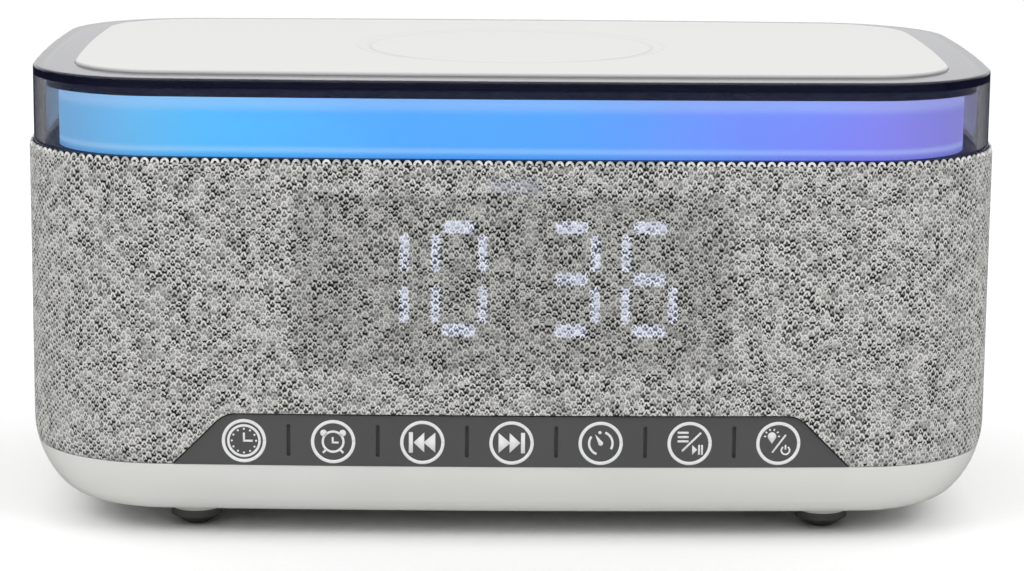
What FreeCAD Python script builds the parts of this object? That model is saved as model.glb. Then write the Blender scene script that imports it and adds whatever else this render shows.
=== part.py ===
import FreeCAD, Part
import math
import os
import Sketcher

# A bedside talking clock with a charging plate, a lit band, a knitted sleeve and seven keys.
# Millimetres. X runs to the right, Y to the back and Z up, and the feet stand on Z = 0.
# Insets are measured inwards from the outer face of the knitted sleeve.

SIZES = {
    # Plan outline: four gently bowed sides joined by round corners
    "body_width": 180.0,
    "body_depth": 108.5,
    "corner_radius": 26.0,
    "front_radius": 1500.0,
    "side_radius": 600.0,
    # Levels above the ground
    "base_bottom_level": 4.5,
    "base_top_level": 15.2,
    "sleeve_top_level": 70.9,
    "cover_top_level": 85.4,
    "plate_top_level": 86.0,
    # Rounded underside, which starts on the sleeve's lower edge
    "blend_start_level": 20.0,
    "blend_width": 11.4,
    # Walls
    "sleeve_thickness": 0.8,
    "base_wall": 2.6,
    "base_lip_height": 2.0,
    "base_lip_gap": 0.85,
    "base_lip_opening": 121.0,
    "base_lip_thickness": 1.5,
    "base_lip_depth": 4.0,
    "chassis_wall": 2.4,
    "chassis_deck_thickness": 2.4,
    "seat_gap": 0.05,
    # Feet
    "foot_side_inset": 31.5,
    "foot_front_inset": 19.25,
    "foot_boss_radius": 4.6,
    "foot_pad_height": 2.6,
    "foot_pad_top_radius": 3.6,
    "foot_pad_bottom_radius": 2.8,
    "foot_pad_recess": 0.8,
    "foot_pad_rounding": 0.4,
    # Base screws and their posts
    "post_side_inset": 43.0,
    "post_front_inset": 23.25,
    "post_radius": 4.5,
    "post_top_level": 14.0,
    "screw_radius": 1.5,
    "screw_length": 16.0,
    "screw_clearance": 0.1,
    "screw_head_radius": 2.8,
    "screw_head_height": 2.0,
    "screw_well_depth": 4.0,
    # Key strip
    "strip_width": 122.4,
    "strip_height": 9.4,
    "strip_slant_angle": 45.0,
    "strip_corner_radius": 5.0,
    "strip_inset": 0.5,
    "strip_thickness": 1.5,
    "strip_gap": 0.15,
    "groove_width": 0.7,
    "groove_height": 5.9,
    "groove_depth": 0.6,
    "groove_rise": 0.2,
    # Keys, switches and their board
    "key_pitch": 16.13,
    "key_level": 19.75,
    "key_radius": 3.42,
    "key_clearance": 0.08,
    "key_flange_radius": 3.8,
    "key_flange_thickness": 0.7,
    "key_flange_gap": 0.2,
    "key_well_radius": 4.0,
    "key_stem_radius": 1.8,
    "plunger_inset": 4.6,
    "plunger_radius": 1.5,
    "plunger_reach": 0.8,
    "plunger_depth": 0.5,
    "plunger_clearance": 0.06,
    "switch_width": 6.0,
    "switch_depth": 3.2,
    "key_board_width": 112.0,
    "key_board_height": 8.4,
    "key_bracket_width": 4.0,
    "key_bracket_height": 7.6,
    "weld": 1.0,
    "board_thickness": 1.6,
    # Display
    "window_width": 79.2,
    "window_height": 32.0,
    "window_level": 49.2,
    "window_inset": 0.95,
    "window_thickness": 1.5,
    "window_gap": 0.1,
    "digit_block_width": 76.0,
    "digit_block_height": 26.0,
    "digit_block_depth": 8.0,
    "digit_block_inset": 3.2,
    "display_board_width": 94.0,
    "display_board_height": 30.0,
    "display_post_radius": 2.6,
    "display_post_x": 43.6,
    "display_post_rise": 10.0,
    # Main board. A y of a part on it is measured from the board's front edge, or from its back edge if it
    # is below zero.
    "main_board_side_inset": 52.0,
    "main_board_front_inset": 24.25,
    "main_board_back_inset": 4.05,
    "main_board_level": 19.0,
    "standoff_radius": 2.8,
    "standoff_margin": 4.0,
    "board_screw_radius": 1.1,
    "board_screw_head_radius": 2.1,
    "board_screw_head_height": 1.4,
    "board_screw_grip": 4.0,
    "sound_chip_x": -20.0,
    "sound_chip_y": 26.0,
    "sound_chip_width": 10.0,
    "sound_chip_depth": 10.0,
    "sound_chip_height": 1.6,
    "clock_chip_x": 0.0,
    "clock_chip_y": 26.0,
    "clock_chip_width": 8.0,
    "clock_chip_depth": 8.0,
    "clock_chip_height": 1.6,
    "radio_chip_x": -22.0,
    "radio_chip_y": -20.0,
    "radio_chip_width": 13.0,
    "radio_chip_depth": 17.0,
    "radio_chip_height": 2.4,
    "ribbon_plug_x": 0.0,
    "ribbon_plug_y": 10.0,
    "ribbon_plug_width": 14.0,
    "ribbon_plug_depth": 4.0,
    "ribbon_plug_height": 4.5,
    "speaker_plug_x": 24.0,
    "speaker_plug_y": 12.0,
    "speaker_plug_width": 7.0,
    "speaker_plug_depth": 4.0,
    "speaker_plug_height": 4.5,
    "can_x": -2.0,
    "can_y": -20.0,
    "can_pitch": 9.0,
    "can_radius": 4.0,
    "can_height": 9.0,
    "cell_radius": 10.0,
    "cell_height": 3.2,
    "cell_holder_wall": 1.2,
    "cell_x": 24.0,
    "cell_y": 42.0,
    "ribbon_width": 12.0,
    "ribbon_thickness": 0.5,
    "ribbon_rise": 4.0,
    # Inlet and back panel
    "inlet_width": 8.94,
    "inlet_height": 3.26,
    "inlet_length": 7.4,
    "inlet_shell": 0.3,
    "inlet_tongue_width": 6.6,
    "inlet_tongue_thickness": 0.7,
    "inlet_tongue_length": 4.5,
    "inlet_rise": 0.1,
    "panel_width": 34.0,
    "panel_height": 12.0,
    "panel_inset": 0.4,
    "panel_thickness": 1.6,
    "panel_gap": 0.15,
    "inlet_opening_margin": 0.25,
    # Loudspeakers, along X behind each side wall
    "speaker_level": 43.0,
    "speaker_pad_depth": 4.0,
    "speaker_pad_size": 46.0,
    "speaker_screw_length": 5.0,
    "speaker_size": 42.0,
    "speaker_bore_radius": 18.5,
    "speaker_screw_offset": 17.8,
    "speaker_flange": 1.2,
    "gasket_thickness": 0.8,
    "basket_depth": 11.0,
    "basket_front_radius": 19.4,
    "basket_back_radius": 12.0,
    "basket_wall": 1.0,
    "magnet_radius": 11.0,
    "magnet_height": 7.0,
    "magnet_gap_radius": 6.4,
    "magnet_pole_radius": 5.3,
    "magnet_gap_depth": 5.0,
    "cone_radius": 14.5,
    "cone_depth": 6.5,
    "cone_wall": 0.5,
    "coil_radius": 5.6,
    "coil_wall": 0.4,
    "coil_length": 8.5,
    "dust_cap_rise": 2.0,
    "flange_bore_radius": 17.3,
    "surround_radius": 18.3,
    "surround_wall": 0.3,
    "surround_gap": 0.3,
    "surround_slope": 0.6,
    "surround_rise": 1.1,
    "slot_pitch": 6.4,
    "slot_width": 3.6,
    "slot_height": 27.0,
    "lead_width": 1.8,
    "lead_thickness": 0.9,
    "lead_y": 10.0,
    "lead_drop": 18.8,
    "lead_turn_x": 50.0,
    "lead_rise": 9.0,
    # Light carrier, lamps and light guide
    "carrier_flange_inset": 3.3,
    "carrier_flange_thickness": 1.4,
    "carrier_wall_inset": 10.0,
    "carrier_wall": 1.8,
    "lamp_strip_thickness": 0.4,
    "lamp_strip_height": 8.0,
    "lamp_size": 3.5,
    "lamp_depth": 1.2,
    "lamp_front_margin": 8.0,
    "lamp_side_margin": 0.25,
    "guide_inset": 5.5,
    "guide_thickness": 2.2,
    "cup_wall": 1.5,
    "carrier_post_radius": 3.0,
    "carrier_post_side_inset": 32.0,
    "carrier_post_front_inset": 25.25,
    "carrier_screw_length": 7.0,
    "cup_gap": 0.3,
    # Cover and plate
    "cover_inset": 0.85,
    "cover_wall": 1.9,
    "cover_deck": 2.0,
    "cover_rounding": 0.5,
    "plate_inset": 8.6,
    "plate_gap": 0.1,
    "plate_rounding": 0.5,
    "dish_radius": 29.5,
    "dish_bevel": 2.0,
    "dish_depth": 0.35,
    # Charging coil and its board
    "coil_outer_radius": 25.0,
    "coil_inner_radius": 10.5,
    "coil_height": 1.8,
    "shield_radius": 26.5,
    "shield_height": 1.2,
    "charger_board_width": 56.0,
    "charger_board_depth": 40.0,
    "charger_standoff": 1.6,
    "wire_opening_width": 16.0,
    "wire_opening_depth": 8.0,
    "wire_opening_y": 30.0,
    "choke_x": 12.0,
    "choke_y": -3.0,
    "choke_width": 6.0,
    "choke_depth": 6.0,
    "choke_height": 2.8,
    "charger_chip_x": 0.0,
    "charger_chip_y": 0.0,
    "charger_chip_width": 6.0,
    "charger_chip_depth": 6.0,
    "charger_chip_height": 1.4,
    "charger_plug_x": 0.0,
    "charger_plug_y": 15.5,
    "charger_plug_width": 12.0,
    "charger_plug_depth": 3.0,
    "charger_plug_height": 2.8,
    # Cuts run on by this much
    "overrun": 3.0,
}

# The lower arc of the rounded underside, as a share of the width of its rounding
BLEND_LOWER_SHARE = 0.79
# The part of a wire's shorter run that the bend beside it takes
BEND_SHARE = 0.45
# A level counts as the same within this share of the overrun
SAME_LEVEL_SHARE = 0.001

KEYS = ["clock_key", "alarm_key", "previous_key", "next_key", "timer_key", "mode_key", "light_key"]
CORNERS = [("front_left", -1, -1), ("front_right", 1, -1), ("back_left", -1, 1), ("back_right", 1, 1)]
SIDES = [("left", -1), ("right", 1)]
LAMPS_ALONG_FRONT = 9
LAMPS_ALONG_SIDE = 5
SMOOTHING_CANS = 3
SPEAKER_SLOTS = 5


# Sizes that know the sheet expression that they come from

class Size:
    """A number with the sheet expression that gives it."""

    def __init__(self, value, text):
        self.value = value
        self.text = text

    def __add__(self, other):
        return joined(self, "+", other, number(self) + number(other))

    def __radd__(self, other):
        return joined(other, "+", self, number(other) + number(self))

    def __sub__(self, other):
        return joined(self, "-", other, number(self) - number(other))

    def __rsub__(self, other):
        return joined(other, "-", self, number(other) - number(self))

    def __mul__(self, other):
        return joined(self, "*", other, number(self) * number(other))

    def __rmul__(self, other):
        return joined(other, "*", self, number(other) * number(self))

    def __truediv__(self, other):
        return joined(self, "/", other, number(self) / number(other))

    def __neg__(self):
        return Size(-self.value, f"(0 - {self.text})")


def number(size):
    return size.value if isinstance(size, Size) else float(size)


def words(size):
    return size.text if isinstance(size, Size) else repr(float(size))


def joined(left, sign, right, value):
    return Size(value, f"({words(left)} {sign} {words(right)})")


def root(size):
    return Size(math.sqrt(size.value), f"sqrt({size.text})")


class Sheet:
    """The spreadsheet of driving sizes, with each size as an attribute."""

    def __init__(self, document):
        cells = document.addObject("Spreadsheet::Sheet", "Sizes")
        for row, (name, value) in enumerate(SIZES.items(), start=1):
            cells.set(f"A{row}", name)
            cells.set(f"B{row}", str(value))
            cells.setAlias(f"B{row}", name)
            setattr(self, name, Size(value, f"Sizes.{name}"))


doc = FreeCAD.newDocument("talking_clock")
s = Sheet(doc)
doc.recompute()


# Bodies, sketches and features

def bind(item, path, size):
    item.setExpression(path, words(size))


def new_body(label):
    item = doc.addObject("PartDesign::Body", label)
    item.Label = label
    return item


def new_sketch(item, name, role, offset):
    """A sketch on one of the body's own planes, moved along the plane's normal by offset."""
    drawing = item.newObject("Sketcher::SketchObject", f"{item.Name}_{name}")
    support = next(plane for plane in item.Origin.OriginFeatures if plane.Role == role)
    drawing.AttachmentSupport = [(support, "")]
    drawing.MapMode = "FlatFace"
    bind(drawing, "AttachmentOffset.Base.z", offset)
    return drawing


def plan_sketch(item, name, level):
    return new_sketch(item, name, "XY_Plane", level)


def front_sketch(item, name, y):
    """A sketch seen from the front at a given y. Its normal points forwards, to -Y."""
    return new_sketch(item, name, "XZ_Plane", -y)


def side_sketch(item, name, x):
    """A sketch seen from the right at a given x. Its own axes are Y and Z, its normal is +X."""
    return new_sketch(item, name, "YZ_Plane", x)


def pad(item, drawing, length, backwards=False):
    """Adds material along the sketch's normal, or against it when backwards."""
    feature = item.newObject("PartDesign::Pad", drawing.Name + "_pad")
    feature.Profile = drawing
    bind(feature, "Length", length)
    feature.Reversed = backwards
    return feature


def pocket(item, drawing, length, forwards=False):
    """Cuts against the sketch's normal, or along it when forwards."""
    feature = item.newObject("PartDesign::Pocket", drawing.Name + "_cut")
    feature.Profile = drawing
    bind(feature, "Length", length)
    feature.Reversed = forwards
    return feature


def spun(item, kind, drawing, axis):
    """A full turn of the sketch about one of its own axes."""
    feature = item.newObject(f"PartDesign::{kind}", drawing.Name + "_turn")
    feature.Profile = drawing
    feature.ReferenceAxis = (drawing, [axis])
    feature.Angle = 360
    return feature


def rounded(item, name, chosen, radius):
    """Rounds the edges of the body's tip that the test chooses."""
    doc.recompute()
    base = item.Tip
    edges = [f"Edge{i}" for i, edge in enumerate(base.Shape.Edges, start=1) if chosen(edge)]
    feature = item.newObject("PartDesign::Fillet", f"{item.Name}_{name}")
    feature.Base = (base, edges)
    bind(feature, "Radius", radius)
    return feature


def lies_at(edge, level):
    box = edge.BoundBox
    slack = s.overrun.value * SAME_LEVEL_SHARE
    return abs(box.ZMin - level.value) < slack and abs(box.ZMax - level.value) < slack


# Shapes in sketches

def pin(drawing, geometry, end, across, up):
    """Fixes a point of a sketch at two sizes measured from the origin."""
    for kind, axis, size in (("DistanceX", -2, across), ("DistanceY", -1, up)):
        if number(size) == 0:
            drawing.addConstraint(Sketcher.Constraint("PointOnObject", geometry, end, axis))
        elif number(size) > 0:
            index = drawing.addConstraint(Sketcher.Constraint(kind, -1, 1, geometry, end, number(size)))
            drawing.setExpression(f"Constraints[{index}]", words(size))
        else:
            index = drawing.addConstraint(Sketcher.Constraint(kind, geometry, end, -1, 1, -number(size)))
            drawing.setExpression(f"Constraints[{index}]", words(-size))


def set_level(drawing, geometry, end, level):
    index = drawing.addConstraint(Sketcher.Constraint("DistanceY", -1, 1, geometry, end, number(level)))
    drawing.setExpression(f"Constraints[{index}]", words(level))


def set_radius(drawing, geometry, radius):
    index = drawing.addConstraint(Sketcher.Constraint("Radius", geometry, number(radius)))
    drawing.setExpression(f"Constraints[{index}]", words(radius))


def vector(across, up):
    return FreeCAD.Vector(number(across), number(up), 0)


def add_circle(drawing, across, up, radius):
    circle = Part.Circle(vector(across, up), FreeCAD.Vector(0, 0, 1), number(radius))
    index = drawing.addGeometry(circle, False)
    pin(drawing, index, 3, across, up)
    set_radius(drawing, index, radius)


def add_lines(drawing, ends):
    return [drawing.addGeometry(Part.LineSegment(vector(*start), vector(*end)), False) for start, end in ends]


def add_polygon(drawing, points):
    """A closed run of straight lines with every corner pinned."""
    lines = add_lines(drawing, zip(points, points[1:] + points[:1]))
    for line, following in zip(lines, lines[1:] + lines[:1]):
        drawing.addConstraint(Sketcher.Constraint("Coincident", line, 2, following, 1))
    for line, point in zip(lines, points):
        pin(drawing, line, 1, *point)


def add_rectangle(drawing, left, right, low, high):
    add_polygon(drawing, [(left, low), (right, low), (right, high), (left, high)])


def arc_between(centre, radius, start, end):
    """A counter-clockwise arc from the direction of one point to that of another."""
    circle = Part.Circle(vector(*centre), FreeCAD.Vector(0, 0, 1), number(radius))
    x, y = number(centre[0]), number(centre[1])
    angles = [math.atan2(number(point[1]) - y, number(point[0]) - x) for point in (start, end)]
    if angles[1] < angles[0]:
        angles[1] += math.tau
    return Part.ArcOfCircle(circle, angles[0], angles[1])


def corner_centre():
    """Centre of the back right corner arc, which is tangent to the back bow and the right side."""
    bow_reach = s.front_radius.value - s.corner_radius.value
    side_reach = s.side_radius.value - s.corner_radius.value
    low = s.front_radius.value - s.body_depth.value / 2
    left = s.side_radius.value - s.body_width.value / 2
    span = math.hypot(low, left)
    along = (bow_reach ** 2 - side_reach ** 2 + span ** 2) / (2 * span)
    off = math.sqrt(bow_reach ** 2 - along ** 2)
    return (off * low - along * left) / span, (along * low + off * left) / span - low


def on_circle(centre, radius, through):
    """The point of a circle on the ray from its centre through another point."""
    x0, y0 = number(centre[0]), number(centre[1])
    dx, dy = number(through[0]) - x0, number(through[1]) - y0
    stretch = number(radius) / math.hypot(dx, dy)
    return x0 + dx * stretch, y0 + dy * stretch


def add_outline(drawing, inset, split_front=False):
    """The plan outline moved inwards by the inset: two bows, two sides and four corners, all tangent.

    With split_front the front bow is two arcs that meet in the middle, so that a path can start there.
    """
    x, y = corner_centre()
    bow = s.front_radius - inset
    side = s.side_radius - inset
    corner = s.corner_radius - inset
    behind = s.front_radius - s.body_depth / 2
    beside = s.side_radius - s.body_width / 2
    sweeps = []
    for centre, radius, first, last in (
        ((0, behind), bow, (-x, -y), (x, -y)),
        ((-beside, 0), side, (x, -y), (x, y)),
        ((0, -behind), bow, (x, y), (-x, y)),
        ((beside, 0), side, (-x, y), (-x, -y)),
    ):
        sweeps.append((centre, radius, on_circle(centre, radius, first), on_circle(centre, radius, last)))
        sweeps.append((last, corner, None, None))
    for index in (1, 3, 5, 7):
        following = sweeps[(index + 1) % 8]
        sweeps[index] = (*sweeps[index][:2], sweeps[index - 1][3], following[2])
    if split_front:
        centre, radius, first, last = sweeps[0]
        middle = on_circle(centre, radius, (0, 0))
        sweeps = [(centre, radius, middle, last)] + sweeps[1:] + [(centre, radius, first, middle)]
    arcs = [drawing.addGeometry(arc_between(*sweep), False) for sweep in sweeps]
    for arc, following in zip(arcs, arcs[1:] + arcs[:1]):
        if split_front and following == arcs[0]:
            drawing.addConstraint(Sketcher.Constraint("PointOnObject", arc, 2, -2))
            drawing.addConstraint(Sketcher.Constraint("PointOnObject", following, 1, -2))
        else:
            drawing.addConstraint(Sketcher.Constraint("Tangent", arc, 2, following, 1))
    for arc, (centre, radius, first, last) in zip(arcs, sweeps):
        set_radius(drawing, arc, radius)
        if radius is not corner:
            pin(drawing, arc, 3, *centre)


def add_obround(drawing, across, up, width, height):
    """A slot with round ends, lying or standing as its sizes say."""
    lying = number(width) > number(height)
    radius = (height if lying else width) / 2
    reach = (width - height if lying else height - width) / 2
    if lying:
        low, high = (across - reach, up), (across + reach, up)
        ends = [(0, -1), (0, 1)]
    else:
        low, high = (across, up - reach), (across, up + reach)
        ends = [(1, 0), (-1, 0)]

    def beside(centre, end):
        return (number(centre[0]) + end[0] * number(radius), number(centre[1]) + end[1] * number(radius))

    high_start, high_end = (beside(high, end) for end in ends)
    low_end, low_start = (beside(low, end) for end in ends)
    first = drawing.addGeometry(arc_between(high, radius, high_start, high_end), False)
    second = drawing.addGeometry(arc_between(low, radius, low_start, low_end), False)
    lines = add_lines(drawing, [(high_end, low_start), (low_end, high_start)])
    for one, other in ((first, lines[0]), (lines[0], second), (second, lines[1]), (lines[1], first)):
        drawing.addConstraint(Sketcher.Constraint("Tangent", one, 2, other, 1))
    pin(drawing, first, 3, *high)
    pin(drawing, second, 3, *low)
    set_radius(drawing, first, radius)
    drawing.addConstraint(Sketcher.Constraint("Horizontal" if lying else "Vertical", lines[0]))


def add_strip_outline(drawing, gap):
    """The key strip from the front: a trapezoid with slanted ends and round top corners, grown by the gap."""
    slope = math.tan(math.radians(s.strip_slant_angle.value))
    low = strip_bottom() - gap
    high = strip_bottom() + s.strip_height + gap
    half = s.strip_width / 2 + gap * 2
    radius = s.strip_corner_radius + gap
    run = (number(high) - number(low)) / slope
    turn = math.radians(s.strip_slant_angle.value)
    tangent = number(radius) * math.tan(turn / 2)
    corner = number(half) - run
    flat = corner - tangent
    slant = (corner + tangent * math.cos(turn), number(high) - tangent * math.sin(turn))
    centre = (flat, number(high) - number(radius))
    mirrored = (-flat, centre[1])
    far_slant = (-slant[0], slant[1])
    bottom, right, top, left = add_lines(drawing, [
        ((-half, low), (half, low)),
        ((half, low), slant),
        ((flat, high), (-flat, high)),
        (far_slant, (-half, low)),
    ])
    right_arc = drawing.addGeometry(arc_between(centre, radius, slant, (flat, high)), False)
    left_arc = drawing.addGeometry(arc_between(mirrored, radius, (-flat, high), far_slant), False)
    for one, other in ((right, right_arc), (right_arc, top), (top, left_arc), (left_arc, left)):
        drawing.addConstraint(Sketcher.Constraint("Tangent", one, 2, other, 1))
    drawing.addConstraint(Sketcher.Constraint("Coincident", bottom, 2, right, 1))
    drawing.addConstraint(Sketcher.Constraint("Coincident", left, 2, bottom, 1))
    pin(drawing, bottom, 1, -half, low)
    pin(drawing, bottom, 2, half, low)
    drawing.addConstraint(Sketcher.Constraint("Horizontal", top))
    level = drawing.addConstraint(Sketcher.Constraint("DistanceY", bottom, 2, top, 1, number(high - low)))
    drawing.setExpression(f"Constraints[{level}]", words(high - low))
    for arc in (right_arc, left_arc):
        set_radius(drawing, arc, radius)
    for line, heading in ((right, 180 - s.strip_slant_angle), (left, s.strip_slant_angle - 180)):
        index = drawing.addConstraint(Sketcher.Constraint("Angle", line, math.radians(number(heading))))
        drawing.setExpression(f"Constraints[{index}]", words(heading))


# Places worked out from the sizes

def front_of(inset):
    """The y of the front bow's middle at an inset."""
    return inset - s.body_depth / 2


def fallen(radius, across):
    """How far a bow of a radius has fallen back at a distance from its middle."""
    return radius - root(radius * radius - across * across)


def bow_fall(x):
    return fallen(s.front_radius, x)


def side_fall(y):
    return fallen(s.side_radius, y)


def strip_bottom():
    return s.base_top_level + s.seat_gap


def chassis_outer():
    return s.sleeve_thickness + s.seat_gap


def chassis_inner():
    return chassis_outer() + s.chassis_wall


def foot_x():
    return s.body_width / 2 - s.foot_side_inset


def foot_y():
    return s.body_depth / 2 - s.foot_front_inset


def post_x():
    return s.body_width / 2 - s.post_side_inset


def post_y():
    return s.body_depth / 2 - s.post_front_inset


def carrier_post_x():
    return s.body_width / 2 - s.carrier_post_side_inset


def carrier_post_y():
    return s.body_depth / 2 - s.carrier_post_front_inset


def main_board_half():
    """Half the main board's width."""
    return s.body_width / 2 - s.main_board_side_inset


def main_board_front():
    return front_of(s.main_board_front_inset)


def main_board_back():
    return -front_of(s.main_board_back_inset)


def on_main_board(y):
    """The y in the clock of a place on the main board."""
    return (main_board_front() if number(y) > 0 else main_board_back()) + y


def base_floor():
    return s.base_bottom_level + s.base_wall


def deck_top():
    return s.sleeve_top_level - s.seat_gap


def board_top():
    return s.main_board_level + s.board_thickness


def blend_lower_radius():
    return s.blend_width * BLEND_LOWER_SHARE


def blend_upper_radius():
    """The upper arc starts upright at the blend's top and is tangent to the lower arc."""
    tall = s.blend_start_level - s.base_bottom_level
    low = blend_lower_radius()
    square = s.blend_width * s.blend_width + (tall - low) * (tall - low) - low * low
    return square / ((s.blend_width - low) * 2)


def key_y(column):
    """The y of the front face of the key strip at a key's middle."""
    return front_of(s.strip_inset) + bow_fall(s.key_pitch * column)


# Part primitives and groups

def place(item, x, y, z):
    bind(item, "Placement.Base.x", x)
    bind(item, "Placement.Base.y", y)
    bind(item, "Placement.Base.z", z)


def new_box(name, middle_x, front_y, low_z, width, depth, height):
    """A box that is centred across, with its front face at front_y and its underside at low_z."""
    item = doc.addObject("Part::Box", name)
    bind(item, "Length", width)
    bind(item, "Width", depth)
    bind(item, "Height", height)
    place(item, middle_x - width / 2, front_y, low_z)
    return item


def sized_box(name, low_z, from_y, sizes=None, side=1):
    """A box whose five sizes are in the sheet under its name. Its own y is turned into the clock's by from_y."""
    own = sizes or name
    x, y, width, depth, height = (getattr(s, f"{own}_{word}") for word in ("x", "y", "width", "depth", "height"))
    return new_box(name, x * side, from_y(y) - depth / 2, low_z, width, depth, height)


UPRIGHT = FreeCAD.Rotation()
FORWARD = FreeCAD.Rotation(FreeCAD.Vector(1, 0, 0), 90)
DOWNWARD = FreeCAD.Rotation(FreeCAD.Vector(1, 0, 0), 180)
OUTWARD = {side: FreeCAD.Rotation(FreeCAD.Vector(0, side, 0), 90) for side in (-1, 1)}


def new_cylinder(name, x, y, z, radius, height, turn=UPRIGHT):
    """A cylinder that starts at a point and runs along Z, or the way it is turned."""
    item = doc.addObject("Part::Cylinder", name)
    bind(item, "Radius", radius)
    bind(item, "Height", height)
    item.Placement = FreeCAD.Placement(FreeCAD.Vector(), turn)
    place(item, x, y, z)
    return item


def new_screw(name, x, y, z, turn, along, radius, length, head_radius, head_height):
    """A screw whose head's seat is at a point. Along is the direction that its shank runs in."""
    shank = new_cylinder(f"{name}_shank", x, y, z, radius, length, turn)
    back = [-head_height * step if step else 0 for step in along]
    head = new_cylinder(f"{name}_head", x + back[0], y + back[1], z + back[2], head_radius, head_height, turn)
    item = doc.addObject("Part::Fuse", name)
    item.Base = shank
    item.Tool = head
    return item


def group(label, items):
    item = doc.addObject("Part::Compound", label)
    item.Label = label
    item.Links = items
    return item


def cut(label, base, tools):
    """A piece with other shapes cut out of it."""
    item = doc.addObject("Part::Cut", label)
    item.Label = label
    item.Base = base
    if len(tools) == 1:
        item.Tool = tools[0]
    else:
        item.Tool = doc.addObject("Part::MultiFuse", f"{label}_cuts")
        item.Tool.Shapes = tools
    return item


# Walls that follow the outline

def add_side_wall(drawing, outer, inner, top):
    """The wall's section at the front: upright, then curved in with the rounded underside."""
    front = -s.body_depth / 2
    low = s.base_top_level + s.seat_gap
    centre = (front + blend_upper_radius(), s.blend_start_level)
    ends = []
    for inset in (outer, inner):
        radius = blend_upper_radius() - inset
        fall = number(centre[1]) - number(low)
        upper = (number(front + inset), number(centre[1]))
        lower = (number(centre[0]) - math.sqrt(number(radius) ** 2 - fall ** 2), number(low))
        arc = drawing.addGeometry(arc_between(centre, radius, upper, lower), False)
        line = add_lines(drawing, [((upper[0], top), upper)])[0]
        pin(drawing, arc, 3, *centre)
        set_radius(drawing, arc, radius)
        drawing.addConstraint(Sketcher.Constraint("Coincident", line, 2, arc, 1))
        drawing.addConstraint(Sketcher.Constraint("Horizontal", arc, 3, arc, 1))
        drawing.addConstraint(Sketcher.Constraint("Vertical", line))
        set_level(drawing, line, 1, top)
        set_level(drawing, arc, 2, low)
        ends.append((line, arc, (upper[0], top), lower))
    for end, corner in ((1, 2), (2, 3)):
        joint = add_lines(drawing, [(ends[0][corner], ends[1][corner])])[0]
        for side, this in enumerate(ends):
            drawing.addConstraint(Sketcher.Constraint("Coincident", joint, side + 1, this[corner - 2], end))


def sweep(item, add_section, *sizes):
    """Carries a section round the plan outline. The section stands at the middle of the front."""
    path = plan_sketch(item, "path", 0)
    add_outline(path, 0, split_front=True)
    section = side_sketch(item, "section", 0)
    add_section(section, *sizes)
    doc.recompute()
    feature = item.newObject("PartDesign::AdditivePipe", f"{item.Name}_sweep")
    feature.Profile = section
    feature.Spine = (path, [f"Edge{i}" for i in range(1, len(path.Shape.Edges) + 1)])
    return feature


def add_base_section(drawing):
    """The base wall's section: two tangent arcs from its rim to the underside, and a strip of floor."""
    front = -s.body_depth / 2
    wall = s.base_wall
    low_radius = blend_lower_radius()
    upper = (front + blend_upper_radius(), s.blend_start_level)
    lower = (front + s.blend_width, s.base_bottom_level + low_radius)
    fall = number(upper[1] - s.base_top_level)
    curves = []
    for inset in (0, wall):
        radius = blend_upper_radius() - inset
        rim = (number(upper[0]) - math.sqrt(number(radius) ** 2 - fall ** 2), number(s.base_top_level))
        meeting = on_circle(upper, radius, lower)
        foot = (number(lower[0]), number(lower[1] - low_radius + inset))
        high = drawing.addGeometry(arc_between(upper, radius, rim, meeting), False)
        deep = drawing.addGeometry(arc_between(lower, low_radius - inset, meeting, foot), False)
        drawing.addConstraint(Sketcher.Constraint("Tangent", high, 2, deep, 1))
        set_radius(drawing, deep, low_radius - inset)
        pin(drawing, high, 3, *upper)
        pin(drawing, deep, 3, *lower)
        drawing.addConstraint(Sketcher.Constraint("Vertical", deep, 3, deep, 2))
        set_level(drawing, high, 1, s.base_top_level)
        curves.append((high, deep, rim, foot))
    (outer_high, outer_deep, outer_rim, outer_foot), (inner_high, inner_deep, inner_rim, inner_foot) = curves
    reach = outer_foot[0] + number(wall)
    corners = [outer_foot, (reach, outer_foot[1]), (reach, inner_foot[1]), inner_foot]
    lines = add_lines(drawing, zip(corners, corners[1:]))
    rim = add_lines(drawing, [(inner_rim, outer_rim)])[0]
    for one, end, other, start in (
        (outer_deep, 2, lines[0], 1),
        (lines[0], 2, lines[1], 1),
        (lines[1], 2, lines[2], 1),
        (lines[2], 2, inner_deep, 2),
        (inner_high, 1, rim, 1),
        (rim, 2, outer_high, 1),
    ):
        drawing.addConstraint(Sketcher.Constraint("Coincident", one, end, other, start))
    drawing.addConstraint(Sketcher.Constraint("Horizontal", lines[0]))
    drawing.addConstraint(Sketcher.Constraint("Vertical", lines[1]))
    drawing.addConstraint(Sketcher.Constraint("Horizontal", lines[2]))
    index = drawing.addConstraint(Sketcher.Constraint("DistanceX", lines[0], 1, lines[0], 2, number(wall)))
    drawing.setExpression(f"Constraints[{index}]", words(wall))


def front_band(item, outer, inner, half, low, high):
    """A bar that follows the front bow between two insets and two levels, cut square at both ends."""
    add_band(item, outer, inner, half, low, high, 1)


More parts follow.
